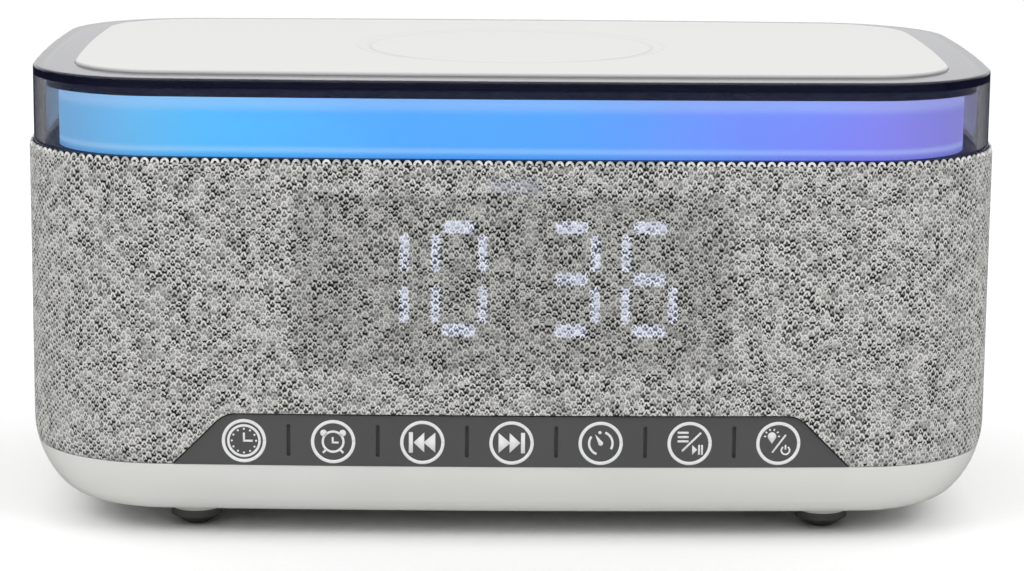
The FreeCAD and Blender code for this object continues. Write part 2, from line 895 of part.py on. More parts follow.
def add_band(item, outer, inner, half, low, high, side):
    """The bar's plan has two arcs about the bow's centre, in front (side 1) or at the back (side -1)."""
    drawing = plan_sketch(item, "band", low)
    middle = (0, (s.front_radius - s.body_depth / 2) * side)
    corners = []
    arcs = []
    for inset in (outer, inner):
        radius = s.front_radius - inset
        reach = math.sqrt(number(radius) ** 2 - number(half) ** 2)
        y = number(middle[1]) - side * reach
        ends = [(-number(half), y), (number(half), y)]
        start, end = ends if side == 1 else ends[::-1]
        arcs.append(drawing.addGeometry(arc_between(middle, radius, start, end), False))
        corners.append((start, end))
        pin(drawing, arcs[-1], 3, *middle)
        set_radius(drawing, arcs[-1], radius)
        for end_index, sign in ((1, -side), (2, side)):
            names = (-1, 1, arcs[-1], end_index) if sign > 0 else (arcs[-1], end_index, -1, 1)
            index = drawing.addConstraint(Sketcher.Constraint("DistanceX", *names, number(half)))
            drawing.setExpression(f"Constraints[{index}]", words(half))
    for end in (0, 1):
        line = add_lines(drawing, [(corners[0][end], corners[1][end])])[0]
        for which in (0, 1):
            drawing.addConstraint(Sketcher.Constraint("Coincident", line, which + 1, arcs[which], end + 1))
    pad(item, drawing, high - low)


def trim_to_strip(item, gap):
    """Cuts a front band down to the key strip's outline."""
    drawing = front_sketch(item, "trim", front_of(-s.overrun))
    around = s.overrun * 2
    reach = s.strip_width / 2 + around
    add_rectangle(drawing, -reach, reach, strip_bottom() - around, strip_bottom() + s.strip_height + around)
    add_strip_outline(drawing, gap)
    pocket(item, drawing, s.overrun * 4 + s.chassis_wall)


# The outer shells

def make_base_shell():
    """The moulded base: curved wall, floor, lip, foot bosses, screw posts and board standoffs."""
    item = new_body("base_shell")
    sweep(item, add_base_section)
    floor = plan_sketch(item, "floor", s.base_bottom_level)
    add_outline(floor, s.blend_width + s.base_wall / 2)
    pad(item, floor, s.base_wall)
    lip = plan_sketch(item, "lip", s.base_top_level - s.base_lip_depth)
    lip_inset = chassis_inner() + s.base_lip_gap
    add_outline(lip, lip_inset)
    add_outline(lip, lip_inset + s.base_lip_thickness)
    pad(item, lip, s.base_lip_depth + s.base_lip_height)
    gap = plan_sketch(item, "lip_gap", s.base_top_level)
    half = s.base_lip_opening / 2
    add_rectangle(gap, -half, half, front_of(0), front_of(s.corner_radius / 2))
    pocket(item, gap, s.base_lip_height + s.overrun, forwards=True)
    bosses = plan_sketch(item, "foot_bosses", foot_seat() - s.foot_pad_recess)
    for name, right, back in CORNERS:
        add_circle(bosses, foot_x() * right, foot_y() * back, s.foot_boss_radius)
    pad(item, bosses, base_floor() - foot_seat() + s.foot_pad_recess)
    recesses = plan_sketch(item, "foot_recesses", foot_seat())
    for name, right, back in CORNERS:
        add_circle(recesses, foot_x() * right, foot_y() * back, s.foot_pad_top_radius + s.seat_gap)
    pocket(item, recesses, s.foot_pad_recess + s.overrun)
    posts = plan_sketch(item, "posts", s.base_bottom_level)
    for name, right, back in CORNERS:
        add_circle(posts, post_x() * right, post_y() * back, s.post_radius)
    pad(item, posts, s.post_top_level - s.base_bottom_level)
    root_level = base_floor() - s.seat_gap
    standoffs = plan_sketch(item, "standoffs", root_level)
    for x, y in main_board_corners():
        add_circle(standoffs, x, y, s.standoff_radius)
    pad(item, standoffs, s.main_board_level - root_level)
    wells = plan_sketch(item, "wells", screw_seat())
    for name, right, back in CORNERS:
        add_circle(wells, post_x() * right, post_y() * back, s.screw_head_radius + s.screw_clearance)
    pocket(item, wells, s.screw_well_depth + s.overrun)
    holes = plan_sketch(item, "holes", s.post_top_level)
    for name, right, back in CORNERS:
        add_circle(holes, post_x() * right, post_y() * back, s.screw_radius + s.screw_clearance)
    pocket(item, holes, s.post_top_level - s.base_bottom_level)
    bores = plan_sketch(item, "bores", s.main_board_level)
    for x, y in main_board_corners():
        add_circle(bores, x, y, s.board_screw_radius + s.screw_clearance)
    pocket(item, bores, s.board_screw_grip + s.screw_clearance)
    return item


def foot_seat():
    """The level of the top of each foot pad, at the end of its recess."""
    return s.foot_pad_height


def screw_seat():
    return s.base_bottom_level + s.screw_well_depth


def main_board_corners():
    half = main_board_half() - s.standoff_margin
    front = main_board_front() + s.standoff_margin
    back = main_board_back() - s.standoff_margin
    return [(-half, front), (half, front), (-half, back), (half, back)]


def make_knit_sleeve():
    """The stretched sleeve, cut away round the key strip and the back panel."""
    tube = new_body("sleeve_tube")
    sweep(tube, add_side_wall, s.sleeve_thickness * 0, s.sleeve_thickness, s.sleeve_top_level)
    notch = front_sketch(tube, "notch", front_of(-s.overrun))
    add_strip_outline(notch, s.strip_gap)
    pocket(tube, notch, s.overrun * 2 + s.sleeve_thickness + bow_fall(s.strip_width / 2))
    window = front_sketch(tube, "panel_window", -front_of(-s.overrun))
    add_panel_outline(window, s.panel_gap)
    pocket(tube, window, s.overrun * 2 + s.sleeve_thickness, forwards=True)
    tube.Label = "knit_sleeve"
    return tube


def add_panel_outline(drawing, gap):
    add_obround(drawing, s.key_pitch * 0, inlet_level(), s.panel_width + gap * 2, s.panel_height + gap * 2)


def inlet_level():
    return board_top() + s.inlet_rise + s.inlet_height / 2


def make_chassis():
    """The inner housing that the sleeve is stretched over, with its deck, posts, openings and seats."""
    body = new_body("chassis_body")
    low = s.base_top_level + s.seat_gap
    sweep(body, add_side_wall, chassis_outer(), chassis_inner(), deck_top())
    deck = plan_sketch(body, "deck", deck_top() - s.chassis_deck_thickness)
    add_outline(deck, chassis_outer() + s.chassis_wall / 2)
    pad(body, deck, s.chassis_deck_thickness)
    under_deck = deck_top() - s.chassis_deck_thickness
    post_low = s.post_top_level + s.seat_gap
    posts = plan_sketch(body, "posts", post_low)
    for name, right, back in CORNERS:
        add_circle(posts, post_x() * right, post_y() * back, s.post_radius)
    pad(body, posts, deck_top() - post_low)
    for name, side in SIDES:
        face = side_sketch(body, f"speaker_pad_{name}", speaker_face() * side)
        half = s.speaker_pad_size / 2
        add_rectangle(face, -half, half, s.speaker_level - half, s.speaker_level + half)
        add_circle(face, 0, s.speaker_level, s.speaker_bore_radius)
        pad(body, face, s.speaker_pad_depth + s.chassis_wall / 2, backwards=side < 0)
    display_seat = front_of(display_board_inset())
    display_posts = front_sketch(body, "display_posts", display_seat)
    for x, z in display_posts_places():
        add_circle(display_posts, x, z, s.display_post_radius)
    pad(body, display_posts, display_board_inset() - chassis_inner() + s.weld)
    brackets = front_sketch(body, "key_brackets", front_of(key_board_inset()))
    for name, side in SIDES:
        inner = s.key_board_width / 2 - s.key_bracket_width
        outer = s.key_board_width / 2
        ends = (inner, outer) if side > 0 else (-outer, -inner)
        half = s.key_bracket_height / 2
        add_rectangle(brackets, *ends, s.key_level - half, s.key_level + half)
    pad(body, brackets, key_board_inset() - chassis_inner() + s.weld)
    standoffs = plan_sketch(body, "charger_standoffs", deck_top())
    for x, y in charger_board_corners():
        add_circle(standoffs, x, y, s.standoff_radius)
    pad(body, standoffs, s.charger_standoff)

    window = front_sketch(body, "window", front_of(-s.overrun))
    half = s.window_width / 2 + s.window_gap
    tall = s.window_height / 2 + s.window_gap
    add_rectangle(window, -half, half, s.window_level - tall, s.window_level + tall)
    pocket(body, window, s.overrun + chassis_inner() + bow_fall(half) + s.weld)
    slots = side_sketch(body, "speaker_slots", s.body_width / 2 + s.overrun)
    for index in range(SPEAKER_SLOTS):
        y = s.slot_pitch * (index - (SPEAKER_SLOTS - 1) / 2)
        add_obround(slots, y, s.speaker_level, s.slot_width, s.slot_height)
    pocket(body, slots, s.body_width + s.overrun * 2)
    holes = plan_sketch(body, "post_holes", post_low)
    for name, right, back in CORNERS:
        add_circle(holes, post_x() * right, post_y() * back, s.screw_radius + s.screw_clearance)
    pocket(body, holes, screw_seat() + s.screw_length + s.screw_clearance - post_low, forwards=True)
    display_bores = front_sketch(body, "display_bores", display_seat)
    for x, z in display_posts_places():
        add_circle(display_bores, x, z, s.board_screw_radius + s.screw_clearance)
    pocket(body, display_bores, s.board_screw_grip + s.screw_clearance, forwards=True)
    charger_bores = plan_sketch(body, "charger_bores", deck_top() + s.charger_standoff)
    for x, y in charger_board_corners():
        add_circle(charger_bores, x, y, s.board_screw_radius + s.screw_clearance)
    pocket(body, charger_bores, s.charger_standoff + s.overrun)
    carrier_holes = plan_sketch(body, "carrier_holes", deck_top())
    for name, right, back in CORNERS:
        spot = (carrier_post_x() * right, carrier_post_y() * back)
        add_circle(carrier_holes, *spot, s.board_screw_radius + s.screw_clearance)
    pocket(body, carrier_holes, s.chassis_deck_thickness + s.overrun)
    wires = plan_sketch(body, "wire_opening", deck_top())
    half = s.wire_opening_width / 2
    add_rectangle(wires, -half, half, s.wire_opening_y - s.wire_opening_depth, s.wire_opening_y)
    pocket(body, wires, s.chassis_deck_thickness + s.overrun)
    for name, side in SIDES:
        bores = side_sketch(body, f"speaker_bores_{name}", speaker_face() * side)
        for y, z in speaker_corners():
            add_circle(bores, y, s.speaker_level + z, s.board_screw_radius + s.screw_clearance)
        pocket(body, bores, s.speaker_screw_length - s.gasket_thickness, forwards=side > 0)

    strip_seat = new_body("strip_seat")
    reach = s.strip_width / 2 + s.strip_gap * 2
    strip_high = strip_bottom() + s.strip_height + s.strip_gap
    back = s.strip_inset + s.strip_thickness + s.seat_gap
    front_band(strip_seat, -s.overrun, back, reach, low - s.overrun, strip_high)
    trim_to_strip(strip_seat, s.strip_gap)
    panel_seat = new_body("panel_seat")
    half = s.panel_width / 2 + s.panel_gap
    tall = s.panel_height / 2 + s.panel_gap
    back = s.panel_inset + s.panel_thickness + s.seat_gap
    add_band(panel_seat, -s.overrun, back, half, inlet_level() - tall, inlet_level() + tall, -1)
    trim_to_panel(panel_seat, s.panel_gap)
    key_wells = new_body("key_wells")
    drawing = front_sketch(key_wells, "wells", front_of(key_board_inset()))
    for column in key_columns():
        add_circle(drawing, s.key_pitch * column, s.key_level, s.key_well_radius)
    pad(key_wells, drawing, key_board_inset() + s.overrun)
    inlet_hole = new_body("inlet_hole")
    drawing = front_sketch(inlet_hole, "hole", -front_of(-s.overrun))
    margin = s.inlet_opening_margin * 2
    add_obround(drawing, s.key_pitch * 0, inlet_level(), s.inlet_width + margin, s.inlet_height + margin)
    pad(inlet_hole, drawing, chassis_inner() + s.overrun * 2)
    return cut("chassis", body, [strip_seat, panel_seat, key_wells, inlet_hole])


def trim_to_panel(item, gap):
    """Cuts a band at the back down to the panel's round-ended outline."""
    drawing = front_sketch(item, "trim", -front_of(-s.overrun * 2))
    reach = s.panel_width / 2 + s.overrun * 2
    tall = s.panel_height / 2 + s.overrun * 2
    add_rectangle(drawing, -reach, reach, inlet_level() - tall, inlet_level() + tall)
    add_panel_outline(drawing, gap)
    pocket(item, drawing, s.overrun * 4 + s.chassis_wall, forwards=True)


def key_columns():
    middle = (len(KEYS) - 1) / 2
    return [index - middle for index in range(len(KEYS))]


def key_board_inset():
    """The inset of the key board's front face, behind the switches."""
    return s.plunger_inset + s.plunger_reach + s.switch_depth + s.seat_gap


def display_board_inset():
    return s.digit_block_inset + s.digit_block_depth + s.seat_gap


def display_posts_places():
    x, z = s.display_post_x, s.display_post_rise
    return [(x * right, s.window_level + z * up) for name, right, up in CORNERS]


def charger_board_corners():
    x = s.charger_board_width / 2 - s.standoff_margin
    y = s.charger_board_depth / 2 - s.standoff_margin
    return [(x * right, y * back) for name, right, back in CORNERS]


def speaker_face():
    """The x of the face that a speaker's gasket is pressed to."""
    return s.body_width / 2 - chassis_inner() - s.speaker_pad_depth


def speaker_corners():
    reach = s.speaker_screw_offset
    return [(reach * right, reach * back) for name, right, back in CORNERS]


def make_top_cover():
    """The smoked clear cover: an upright wall and a flat rim round the plate."""
    item = new_body("top_cover")
    wall = plan_sketch(item, "wall", s.sleeve_top_level)
    add_outline(wall, s.cover_inset)
    pad(item, wall, s.cover_top_level - s.sleeve_top_level)
    hollow = plan_sketch(item, "hollow", s.cover_top_level - s.cover_deck)
    add_outline(hollow, s.cover_inset + s.cover_wall)
    pocket(item, hollow, s.cover_top_level - s.sleeve_top_level)
    opening = plan_sketch(item, "opening", s.cover_top_level)
    add_outline(opening, s.plate_inset - s.plate_gap)
    pocket(item, opening, s.cover_deck + s.overrun)
    between = (s.cover_inset + s.plate_inset) / 2
    rounded(item, "rounding", lambda edge: on_rim(edge, s.cover_top_level, between), s.cover_rounding)
    return item


def on_rim(edge, level, inset):
    """True for an edge at the level whose ends lie outside the outline at the inset."""
    half_width, half_depth = s.body_width.value / 2, s.body_depth.value / 2
    ends = [min(half_width - abs(v.X), half_depth - abs(v.Y)) for v in edge.Vertexes]
    return lies_at(edge, level) and max(ends) < inset.value


def make_charging_plate():
    """The white plate, which stands a little proud of the rim, with a shallow round dish."""
    item = new_body("charging_plate")
    low = s.cover_top_level - s.cover_deck
    slab = plan_sketch(item, "slab", low)
    add_outline(slab, s.plate_inset)
    pad(item, slab, s.plate_top_level - low)
    inner = s.plate_inset * 2
    rounded(item, "rounding", lambda edge: on_rim(edge, s.plate_top_level, inner), s.plate_rounding)
    dish = front_sketch(item, "dish", 0)
    centre = s.dish_radius * 0
    top = s.plate_top_level
    high = top + s.overrun
    floor = top - s.dish_depth
    rim = s.dish_radius
    add_polygon(dish, [(centre, floor), (rim - s.dish_bevel, floor), (rim, top), (rim, high), (centre, high)])
    spun(item, "Groove", dish, "V_Axis")
    return item


# The key strip and its keys

def make_key_strip():
    """The dark strip: seven round openings and six upright grooves between them."""
    item = new_body("key_strip")
    back = s.strip_inset + s.strip_thickness
    low = strip_bottom()
    front_band(item, s.strip_inset, back, s.strip_width / 2, low, low + s.strip_height)
    trim_to_strip(item, s.strip_gap * 0)
    openings = front_sketch(item, "openings", front_of(-s.overrun))
    for column in key_columns():
        add_circle(openings, s.key_pitch * column, s.key_level, s.key_radius + s.key_clearance)
    pocket(item, openings, s.overrun * 2 + s.strip_inset + s.strip_thickness)
    for column in key_columns()[:-1]:
        x = s.key_pitch * (column + 1 / 2)
        groove = front_sketch(item, f"groove_{int(column + len(KEYS))}", key_y(column + 1 / 2) - s.overrun)
        add_obround(groove, x, s.key_level + s.groove_rise, s.groove_width, s.groove_height)
        pocket(item, groove, s.overrun + s.groove_depth)
    return item


def make_key(label, column):
    """A key: a round face flush with the strip, a flange behind the strip and a stem to its plunger."""
    item = new_body(label)
    x = s.key_pitch * column
    strip_back = key_y(column) + s.strip_thickness
    flange_front = strip_back + s.key_flange_gap
    face = front_sketch(item, "face", flange_front)
    add_circle(face, x, s.key_level, s.key_radius)
    pad(item, face, s.strip_thickness + s.key_flange_gap + s.overrun)
    crown = plan_sketch(item, "crown", s.key_level - s.key_radius - s.overrun)
    add_front_waste(crown, s.strip_inset)
    pocket(item, crown, (s.key_radius + s.overrun) * 2, forwards=True)
    flange = front_sketch(item, "flange", flange_front + s.key_flange_thickness)
    add_circle(flange, x, s.key_level, s.key_flange_radius)
    pad(item, flange, s.key_flange_thickness)
    stem = front_sketch(item, "stem", front_of(s.plunger_inset))
    add_circle(stem, x, s.key_level, s.key_stem_radius)
    pad(item, stem, front_of(s.plunger_inset) - flange_front)
    return item


def add_front_waste(drawing, inset):
    """All that lies in front of the bow at an inset, as far as the strip is wide."""
    half = s.strip_width / 2
    radius = s.front_radius - inset
    middle = (0, s.front_radius - s.body_depth / 2)
    y = number(middle[1]) - math.sqrt(number(radius) ** 2 - number(half) ** 2)
    front = front_of(-s.overrun * 2)
    left, right = -number(half), number(half)
    arc = drawing.addGeometry(arc_between(middle, radius, (left, y), (right, y)), False)
    pin(drawing, arc, 3, *middle)
    set_radius(drawing, arc, radius)
    corners = [(right, y), (right, number(front)), (left, number(front)), (left, y)]
    lines = add_lines(drawing, zip(corners, corners[1:]))
    ring = [arc] + lines
    for one, other in zip(ring, ring[1:] + ring[:1]):
        drawing.addConstraint(Sketcher.Constraint("Coincident", one, 2, other, 1))
    drawing.addConstraint(Sketcher.Constraint("Vertical", lines[0]))
    drawing.addConstraint(Sketcher.Constraint("Vertical", lines[2]))
    pin(drawing, lines[1], 1, half, front)
    pin(drawing, lines[1], 2, -half, front)


def make_plunger(label, column):
    length = s.plunger_reach + s.plunger_depth
    back = (s.key_pitch * column, front_of(s.plunger_inset) + length, s.key_level)
    item = new_cylinder(label, *back, s.plunger_radius, length, FORWARD)
    item.Label = label
    return item


def make_switch_bodies():
    """Seven tact switch bodies, each with a bore that its plunger goes into."""
    switches = []
    front = front_of(s.plunger_inset) + s.plunger_reach
    for name, column in zip(KEYS, key_columns()):
        x = s.key_pitch * column
        low = s.key_level - s.switch_width / 2
        block = new_box(f"{name}_block", x, front, low, s.switch_width, s.switch_depth, s.switch_width)
        depth = s.plunger_depth * 2
        radius = s.plunger_radius + s.plunger_clearance
        bore = new_cylinder(f"{name}_bore", x, front + depth, s.key_level, radius, depth + s.overrun, FORWARD)
        switches.append(cut(f"{name}_switch", block, [bore]))
    return group("switch_bodies", switches)


def make_key_board():
    front = front_of(key_board_inset())
    low = s.key_level - s.key_board_height / 2
    return new_box("key_board", 0, front, low, s.key_board_width, s.board_thickness, s.key_board_height)


# The display

def make_display_window():
    item = new_body("display_window")
    low = s.window_level - s.window_height / 2
    back = s.window_inset + s.window_thickness
    front_band(item, s.window_inset, back, s.window_width / 2, low, low + s.window_height)
    return item


def make_digit_block():
    low = s.window_level - s.digit_block_height / 2
    front = front_of(s.digit_block_inset)
    size = (s.digit_block_width, s.digit_block_depth, s.digit_block_height)
    return new_box("digit_block", 0, front, low, *size)


def make_display_board():
    """The display's board, with four holes for its screws."""
    item = new_body("display_board")
    back = front_of(display_board_inset()) + s.board_thickness
    drawing = front_sketch(item, "board", back)
    half, tall = s.display_board_width / 2, s.display_board_height / 2
    add_rectangle(drawing, -half, half, s.window_level - tall, s.window_level + tall)
    for x, z in display_posts_places():
        add_circle(drawing, x, z, s.board_screw_radius + s.screw_clearance)
    pad(item, drawing, s.board_thickness)
    return item


# Main board

def make_main_board():
    """The main board on its four standoffs."""
    item = new_body("main_board")
    drawing = plan_sketch(item, "board", s.main_board_level)
    half = main_board_half()
    add_rectangle(drawing, -half, half, main_board_front(), main_board_back())
    for x, y in main_board_corners():
        add_circle(drawing, x, y, s.board_screw_radius + s.screw_clearance)
    pad(item, drawing, s.board_thickness)
    return item


def make_main_board_parts():
    """Chips, smoothing cans and plugs on the main board."""
    top = board_top()
    names = ("sound_chip", "clock_chip", "radio_chip", "ribbon_plug")
    parts = [sized_box(name, top, on_main_board) for name in names]
    for name, side in SIDES:
        parts.append(sized_box(f"{name}_speaker_plug", top, on_main_board, "speaker_plug", side))
    for index in range(SMOOTHING_CANS):
        x = s.can_x + s.can_pitch * (index - (SMOOTHING_CANS - 1) / 2)
        y = on_main_board(s.can_y)
        parts.append(new_cylinder(f"smoothing_can_{index + 1}", x, y, top, s.can_radius, s.can_height))
    return group("main_board_parts", parts)


def make_backup_cell():
    level = board_top() + s.cell_holder_wall + s.seat_gap
    return new_cylinder("backup_cell", s.cell_x, on_main_board(s.cell_y), level, s.cell_radius, s.cell_height)


def make_cell_holder():
    """An open cup that the coin cell lies in, with one side cut away to slide it out."""
    low = board_top()
    floor = low + s.cell_holder_wall
    room = s.cell_radius + s.seat_gap
    outer = room + s.cell_holder_wall
    tall = s.cell_holder_wall + s.cell_height
    deep = s.cell_radius
    x, y = s.cell_x, on_main_board(s.cell_y)
    cup = new_cylinder("cell_cup", x, y, low, outer, tall)
    inside = new_cylinder("cell_room", x, y, floor, room, tall)
    way_out = new_box("cell_way_out", x, y - outer - deep / 2, floor, s.cell_radius, deep, tall)
    return cut("cell_holder", cup, [inside, way_out])


def make_power_inlet():
    """The inlet's metal shell with a thin tongue inside it."""
    item = new_body("power_inlet")
    mouth = -front_of(s.panel_inset + s.inlet_opening_margin)
    shell = front_sketch(item, "shell", mouth)
    centre = s.inlet_width * 0
    add_obround(shell, centre, inlet_level(), s.inlet_width, s.inlet_height)
    pad(item, shell, s.inlet_length)
    room = front_sketch(item, "room", mouth)
    wall = s.inlet_shell * 2
    add_obround(room, centre, inlet_level(), s.inlet_width - wall, s.inlet_height - wall)
    pocket_depth = s.inlet_length - s.inlet_shell * 3
    pocket(item, room, pocket_depth, forwards=True)
    tongue = front_sketch(item, "tongue", mouth - s.inlet_length + s.inlet_shell + s.inlet_tongue_length)
    half, tall = s.inlet_tongue_width / 2, s.inlet_tongue_thickness / 2
    add_rectangle(tongue, -half, half, inlet_level() - tall, inlet_level() + tall)
    pad(item, tongue, s.inlet_tongue_length)
    return item


def make_back_panel():
    """The small panel round the inlet, which follows the bow of the back."""
    item = new_body("back_panel")
    tall = s.panel_height / 2
    outer, inner = s.panel_inset, s.panel_inset + s.panel_thickness
    add_band(item, outer, inner, s.panel_width / 2, inlet_level() - tall, inlet_level() + tall, -1)
    trim_to_panel(item, s.panel_gap * 0)
    hole = front_sketch(item, "hole", -front_of(-s.overrun))
    margin = s.inlet_opening_margin * 2
    add_obround(hole, s.inlet_width * 0, inlet_level(), s.inlet_width + margin, s.inlet_height + margin)
    pocket(item, hole, s.overrun * 2 + s.panel_thickness, forwards=True)
    return item


# Loudspeakers. Each is turned about the X axis at the origin, then raised to its level,
# and the left one is turned half round.

def seat_speaker(item, side):
    turn = FreeCAD.Rotation(FreeCAD.Vector(0, 0, 1), 0 if side > 0 else 180)
    item.Placement = FreeCAD.Placement(FreeCAD.Vector(), turn)
    bind(item, "Placement.Base.z", s.speaker_level)
    return item


def speaker_section(item, name, corners):
    """Turns a section given in x and radius about the speaker's axis."""
    drawing = front_sketch(item, name, 0)
    add_polygon(drawing, corners)
    return spun(item, "Revolution", drawing, "H_Axis")


def flange_front():
    return speaker_face() - s.gasket_thickness


def flange_back():
    return flange_front() - s.speaker_flange


def magnet_front():
    return flange_back() - s.basket_depth


def make_speaker_frame(name, side):
    """A square flange with a round bore, a tapered basket and a back plate with a hole."""
    item = new_body(f"speaker_frame_{name}")
    flange = side_sketch(item, "flange", flange_back())
    half = s.speaker_size / 2
    add_rectangle(flange, -half, half, -half, half)
    add_circle(flange, 0, 0, s.flange_bore_radius)
    for y, z in speaker_corners():
        add_circle(flange, y, z, s.board_screw_radius + s.screw_clearance)
    pad(item, flange, s.speaker_flange)
    wall = s.basket_wall
    inside = flange_back() + s.speaker_flange / 2
    speaker_section(item, "basket", [
        (inside, s.basket_front_radius),
        (magnet_front(), s.basket_back_radius),
        (magnet_front(), s.magnet_gap_radius),
        (magnet_front() + wall, s.magnet_gap_radius),
        (magnet_front() + wall, s.basket_back_radius - wall),
        (inside, s.basket_front_radius - wall),
    ])
    return seat_speaker(item, side)


def make_speaker_magnet(name, side):
    """The magnet with its ring gap and pole for the voice coil."""
    item = new_body(f"speaker_magnet_{name}")
    front = magnet_front() - s.seat_gap
    floor = front - s.magnet_gap_depth
    back = front - s.magnet_height
    axis = s.magnet_radius * 0
    speaker_section(item, "magnet", [
        (front, axis),
        (front, s.magnet_pole_radius),
        (floor, s.magnet_pole_radius),
        (floor, s.magnet_gap_radius),
        (front, s.magnet_gap_radius),
        (front, s.magnet_radius),
        (back, s.magnet_radius),
        (back, axis),
    ])
    return seat_speaker(item, side)


def make_speaker_gasket(name, side):
    item = new_body(f"speaker_gasket_{name}")
    drawing = side_sketch(item, "gasket", flange_front() + s.seat_gap)
    half = s.speaker_size / 2
    add_rectangle(drawing, -half, half, -half, half)
    add_circle(drawing, 0, 0, s.speaker_bore_radius)
    for y, z in speaker_corners():
        add_circle(drawing, y, z, s.board_screw_radius + s.screw_clearance)
    pad(item, drawing, s.gasket_thickness - s.seat_gap * 2)
    return seat_speaker(item, side)


def make_speaker_cone(name, side):
    """The cone with its dust cap and voice coil, as one moving piece."""
    item = new_body(f"speaker_cone_{name}")
    front = flange_front()
    neck = front - s.cone_depth
    tail = neck - s.coil_length
    wall = s.cone_wall
    bore = s.coil_radius
    skin = s.coil_radius + s.coil_wall
    axis = bore * 0
    speaker_section(item, "cone", [
        (front, s.cone_radius),
        (neck, skin),
        (tail, skin),
        (tail, bore),
        (neck + wall, bore),
        (neck + s.dust_cap_rise, axis),
        (neck + s.dust_cap_rise + wall, axis),
        (neck + wall + wall, skin),
        (front + wall, s.cone_radius),
    ])
    return seat_speaker(item, side)


def make_speaker_surround(name, side):
    """The roll between the cone's edge and the flange, with a flat lip on the flange."""
    item = new_body(f"speaker_surround_{name}")
    front = flange_front() + s.seat_gap
    wall = s.surround_wall
    inner = s.cone_radius + s.surround_gap
    outer = s.flange_bore_radius
    rim = s.surround_radius
    slope = s.surround_slope
    crest = front + s.surround_rise
    speaker_section(item, "roll", [
        (front, inner),
        (crest, inner + slope),
        (crest, outer - slope),
        (front, outer),
        (front, rim),
        (front + wall, rim),
        (front + wall, outer),
        (crest + wall, outer - slope),
        (crest + wall, inner + slope),
        (front + wall, inner),
    ])
    return seat_speaker(item, side)


# Wires that the housing holds along their whole way

def rounded_path(points):
    """Straight runs joined by tangent arcs, each as large as its two runs allow."""
    places = [FreeCAD.Vector(*(number(size) for size in point)) for point in points]
    edges = []
    start = places[0]
    for before, corner, after in zip(places, places[1:], places[2:]):
        back, ahead = before - corner, after - corner
        turn = math.pi - back.getAngle(ahead)
        length = min(back.Length, ahead.Length) * BEND_SHARE
        back.normalize()
        ahead.normalize()
        entry, leave = corner + back * length, corner + ahead * length
        half = (back + ahead).normalize()
        radius = length / math.tan(turn / 2)
        middle = corner + half * (math.hypot(radius, length) - radius)
        edges.append(Part.LineSegment(start, entry).toShape())
        edges.append(Part.Arc(entry, middle, leave).toShape())
        start = leave
    edges.append(Part.LineSegment(start, places[-1]).toShape())
    return Part.Wire(edges)


def flat_wire(points, across, width, thickness):
    """Carries a flat section along a path. It starts square to the path, with its width along across."""
    path = rounded_path(points)
    begin = path.Vertexes[0].Point
    heading = path.Edges[0].tangentAt(path.Edges[0].FirstParameter)
    wide = across * (number(width) / 2)
    thin = heading.cross(across) * (number(thickness) / 2)
    corners = [begin - wide - thin, begin + wide - thin, begin + wide + thin, begin - wide + thin]
    wire = path.makePipeShell([Part.makePolygon(corners + corners[:1])], True, True)
    whole = wire.Volume / (number(width) * number(thickness) * path.Length)
    print(f"a wire's volume is {whole:.3f} of its section times its length")
    return wire


def make_speaker_leads():
    """A twin lead from behind each speaker's flange down to its plug on the main board."""
    wires = []
    plug_top = board_top() + s.speaker_plug_height + s.seat_gap
    plug_y = on_main_board(s.speaker_plug_y)
    for name, side in SIDES:
        low = s.speaker_level - s.lead_drop
        high = plug_top + s.lead_rise
        turn_x = s.lead_turn_x * side
        plug_x = s.speaker_plug_x * side
        points = [
            ((flange_back() - s.seat_gap) * side, -s.lead_y, low),
            (turn_x, -s.lead_y, low),
            (turn_x, plug_y, high),
            (plug_x, plug_y, high),
            (plug_x, plug_y, plug_top),
        ]
        wires.append(flat_wire(points, FreeCAD.Vector(0, 1, 0), s.lead_width, s.lead_thickness))
    item = doc.addObject("Part::Feature", "speaker_leads")
    item.Label = "speaker_leads"
    item.Shape = Part.makeCompound(wires)
    return item


def make_display_ribbon():
    """The flat ribbon from the back of the display board down to its plug on the main board."""
    back = front_of(display_board_inset()) + s.board_thickness + s.seat_gap
    high = s.window_level - s.display_board_height / 2 + s.ribbon_rise
    plug = on_main_board(s.ribbon_plug_y)
    plug_top = board_top() + s.ribbon_plug_height + s.seat_gap
    middle = s.ribbon_plug_x
    run = (plug - back) / 2
    points = [(middle, back, high), (middle, back + run, high), (middle, plug, high - run), (middle, plug, plug_top)]
    item = doc.addObject("Part::Feature", "display_ribbon")
    item.Label = "display_ribbon"
    item.Shape = flat_wire(points, FreeCAD.Vector(1, 0, 0), s.ribbon_width, s.ribbon_thickness)
    return item


# The lit band, and what is under the plate

def carrier_top():
    return s.cover_top_level - s.cover_deck - s.seat_gap


def carrier_flange_low():
    return carrier_top() - s.carrier_flange_thickness


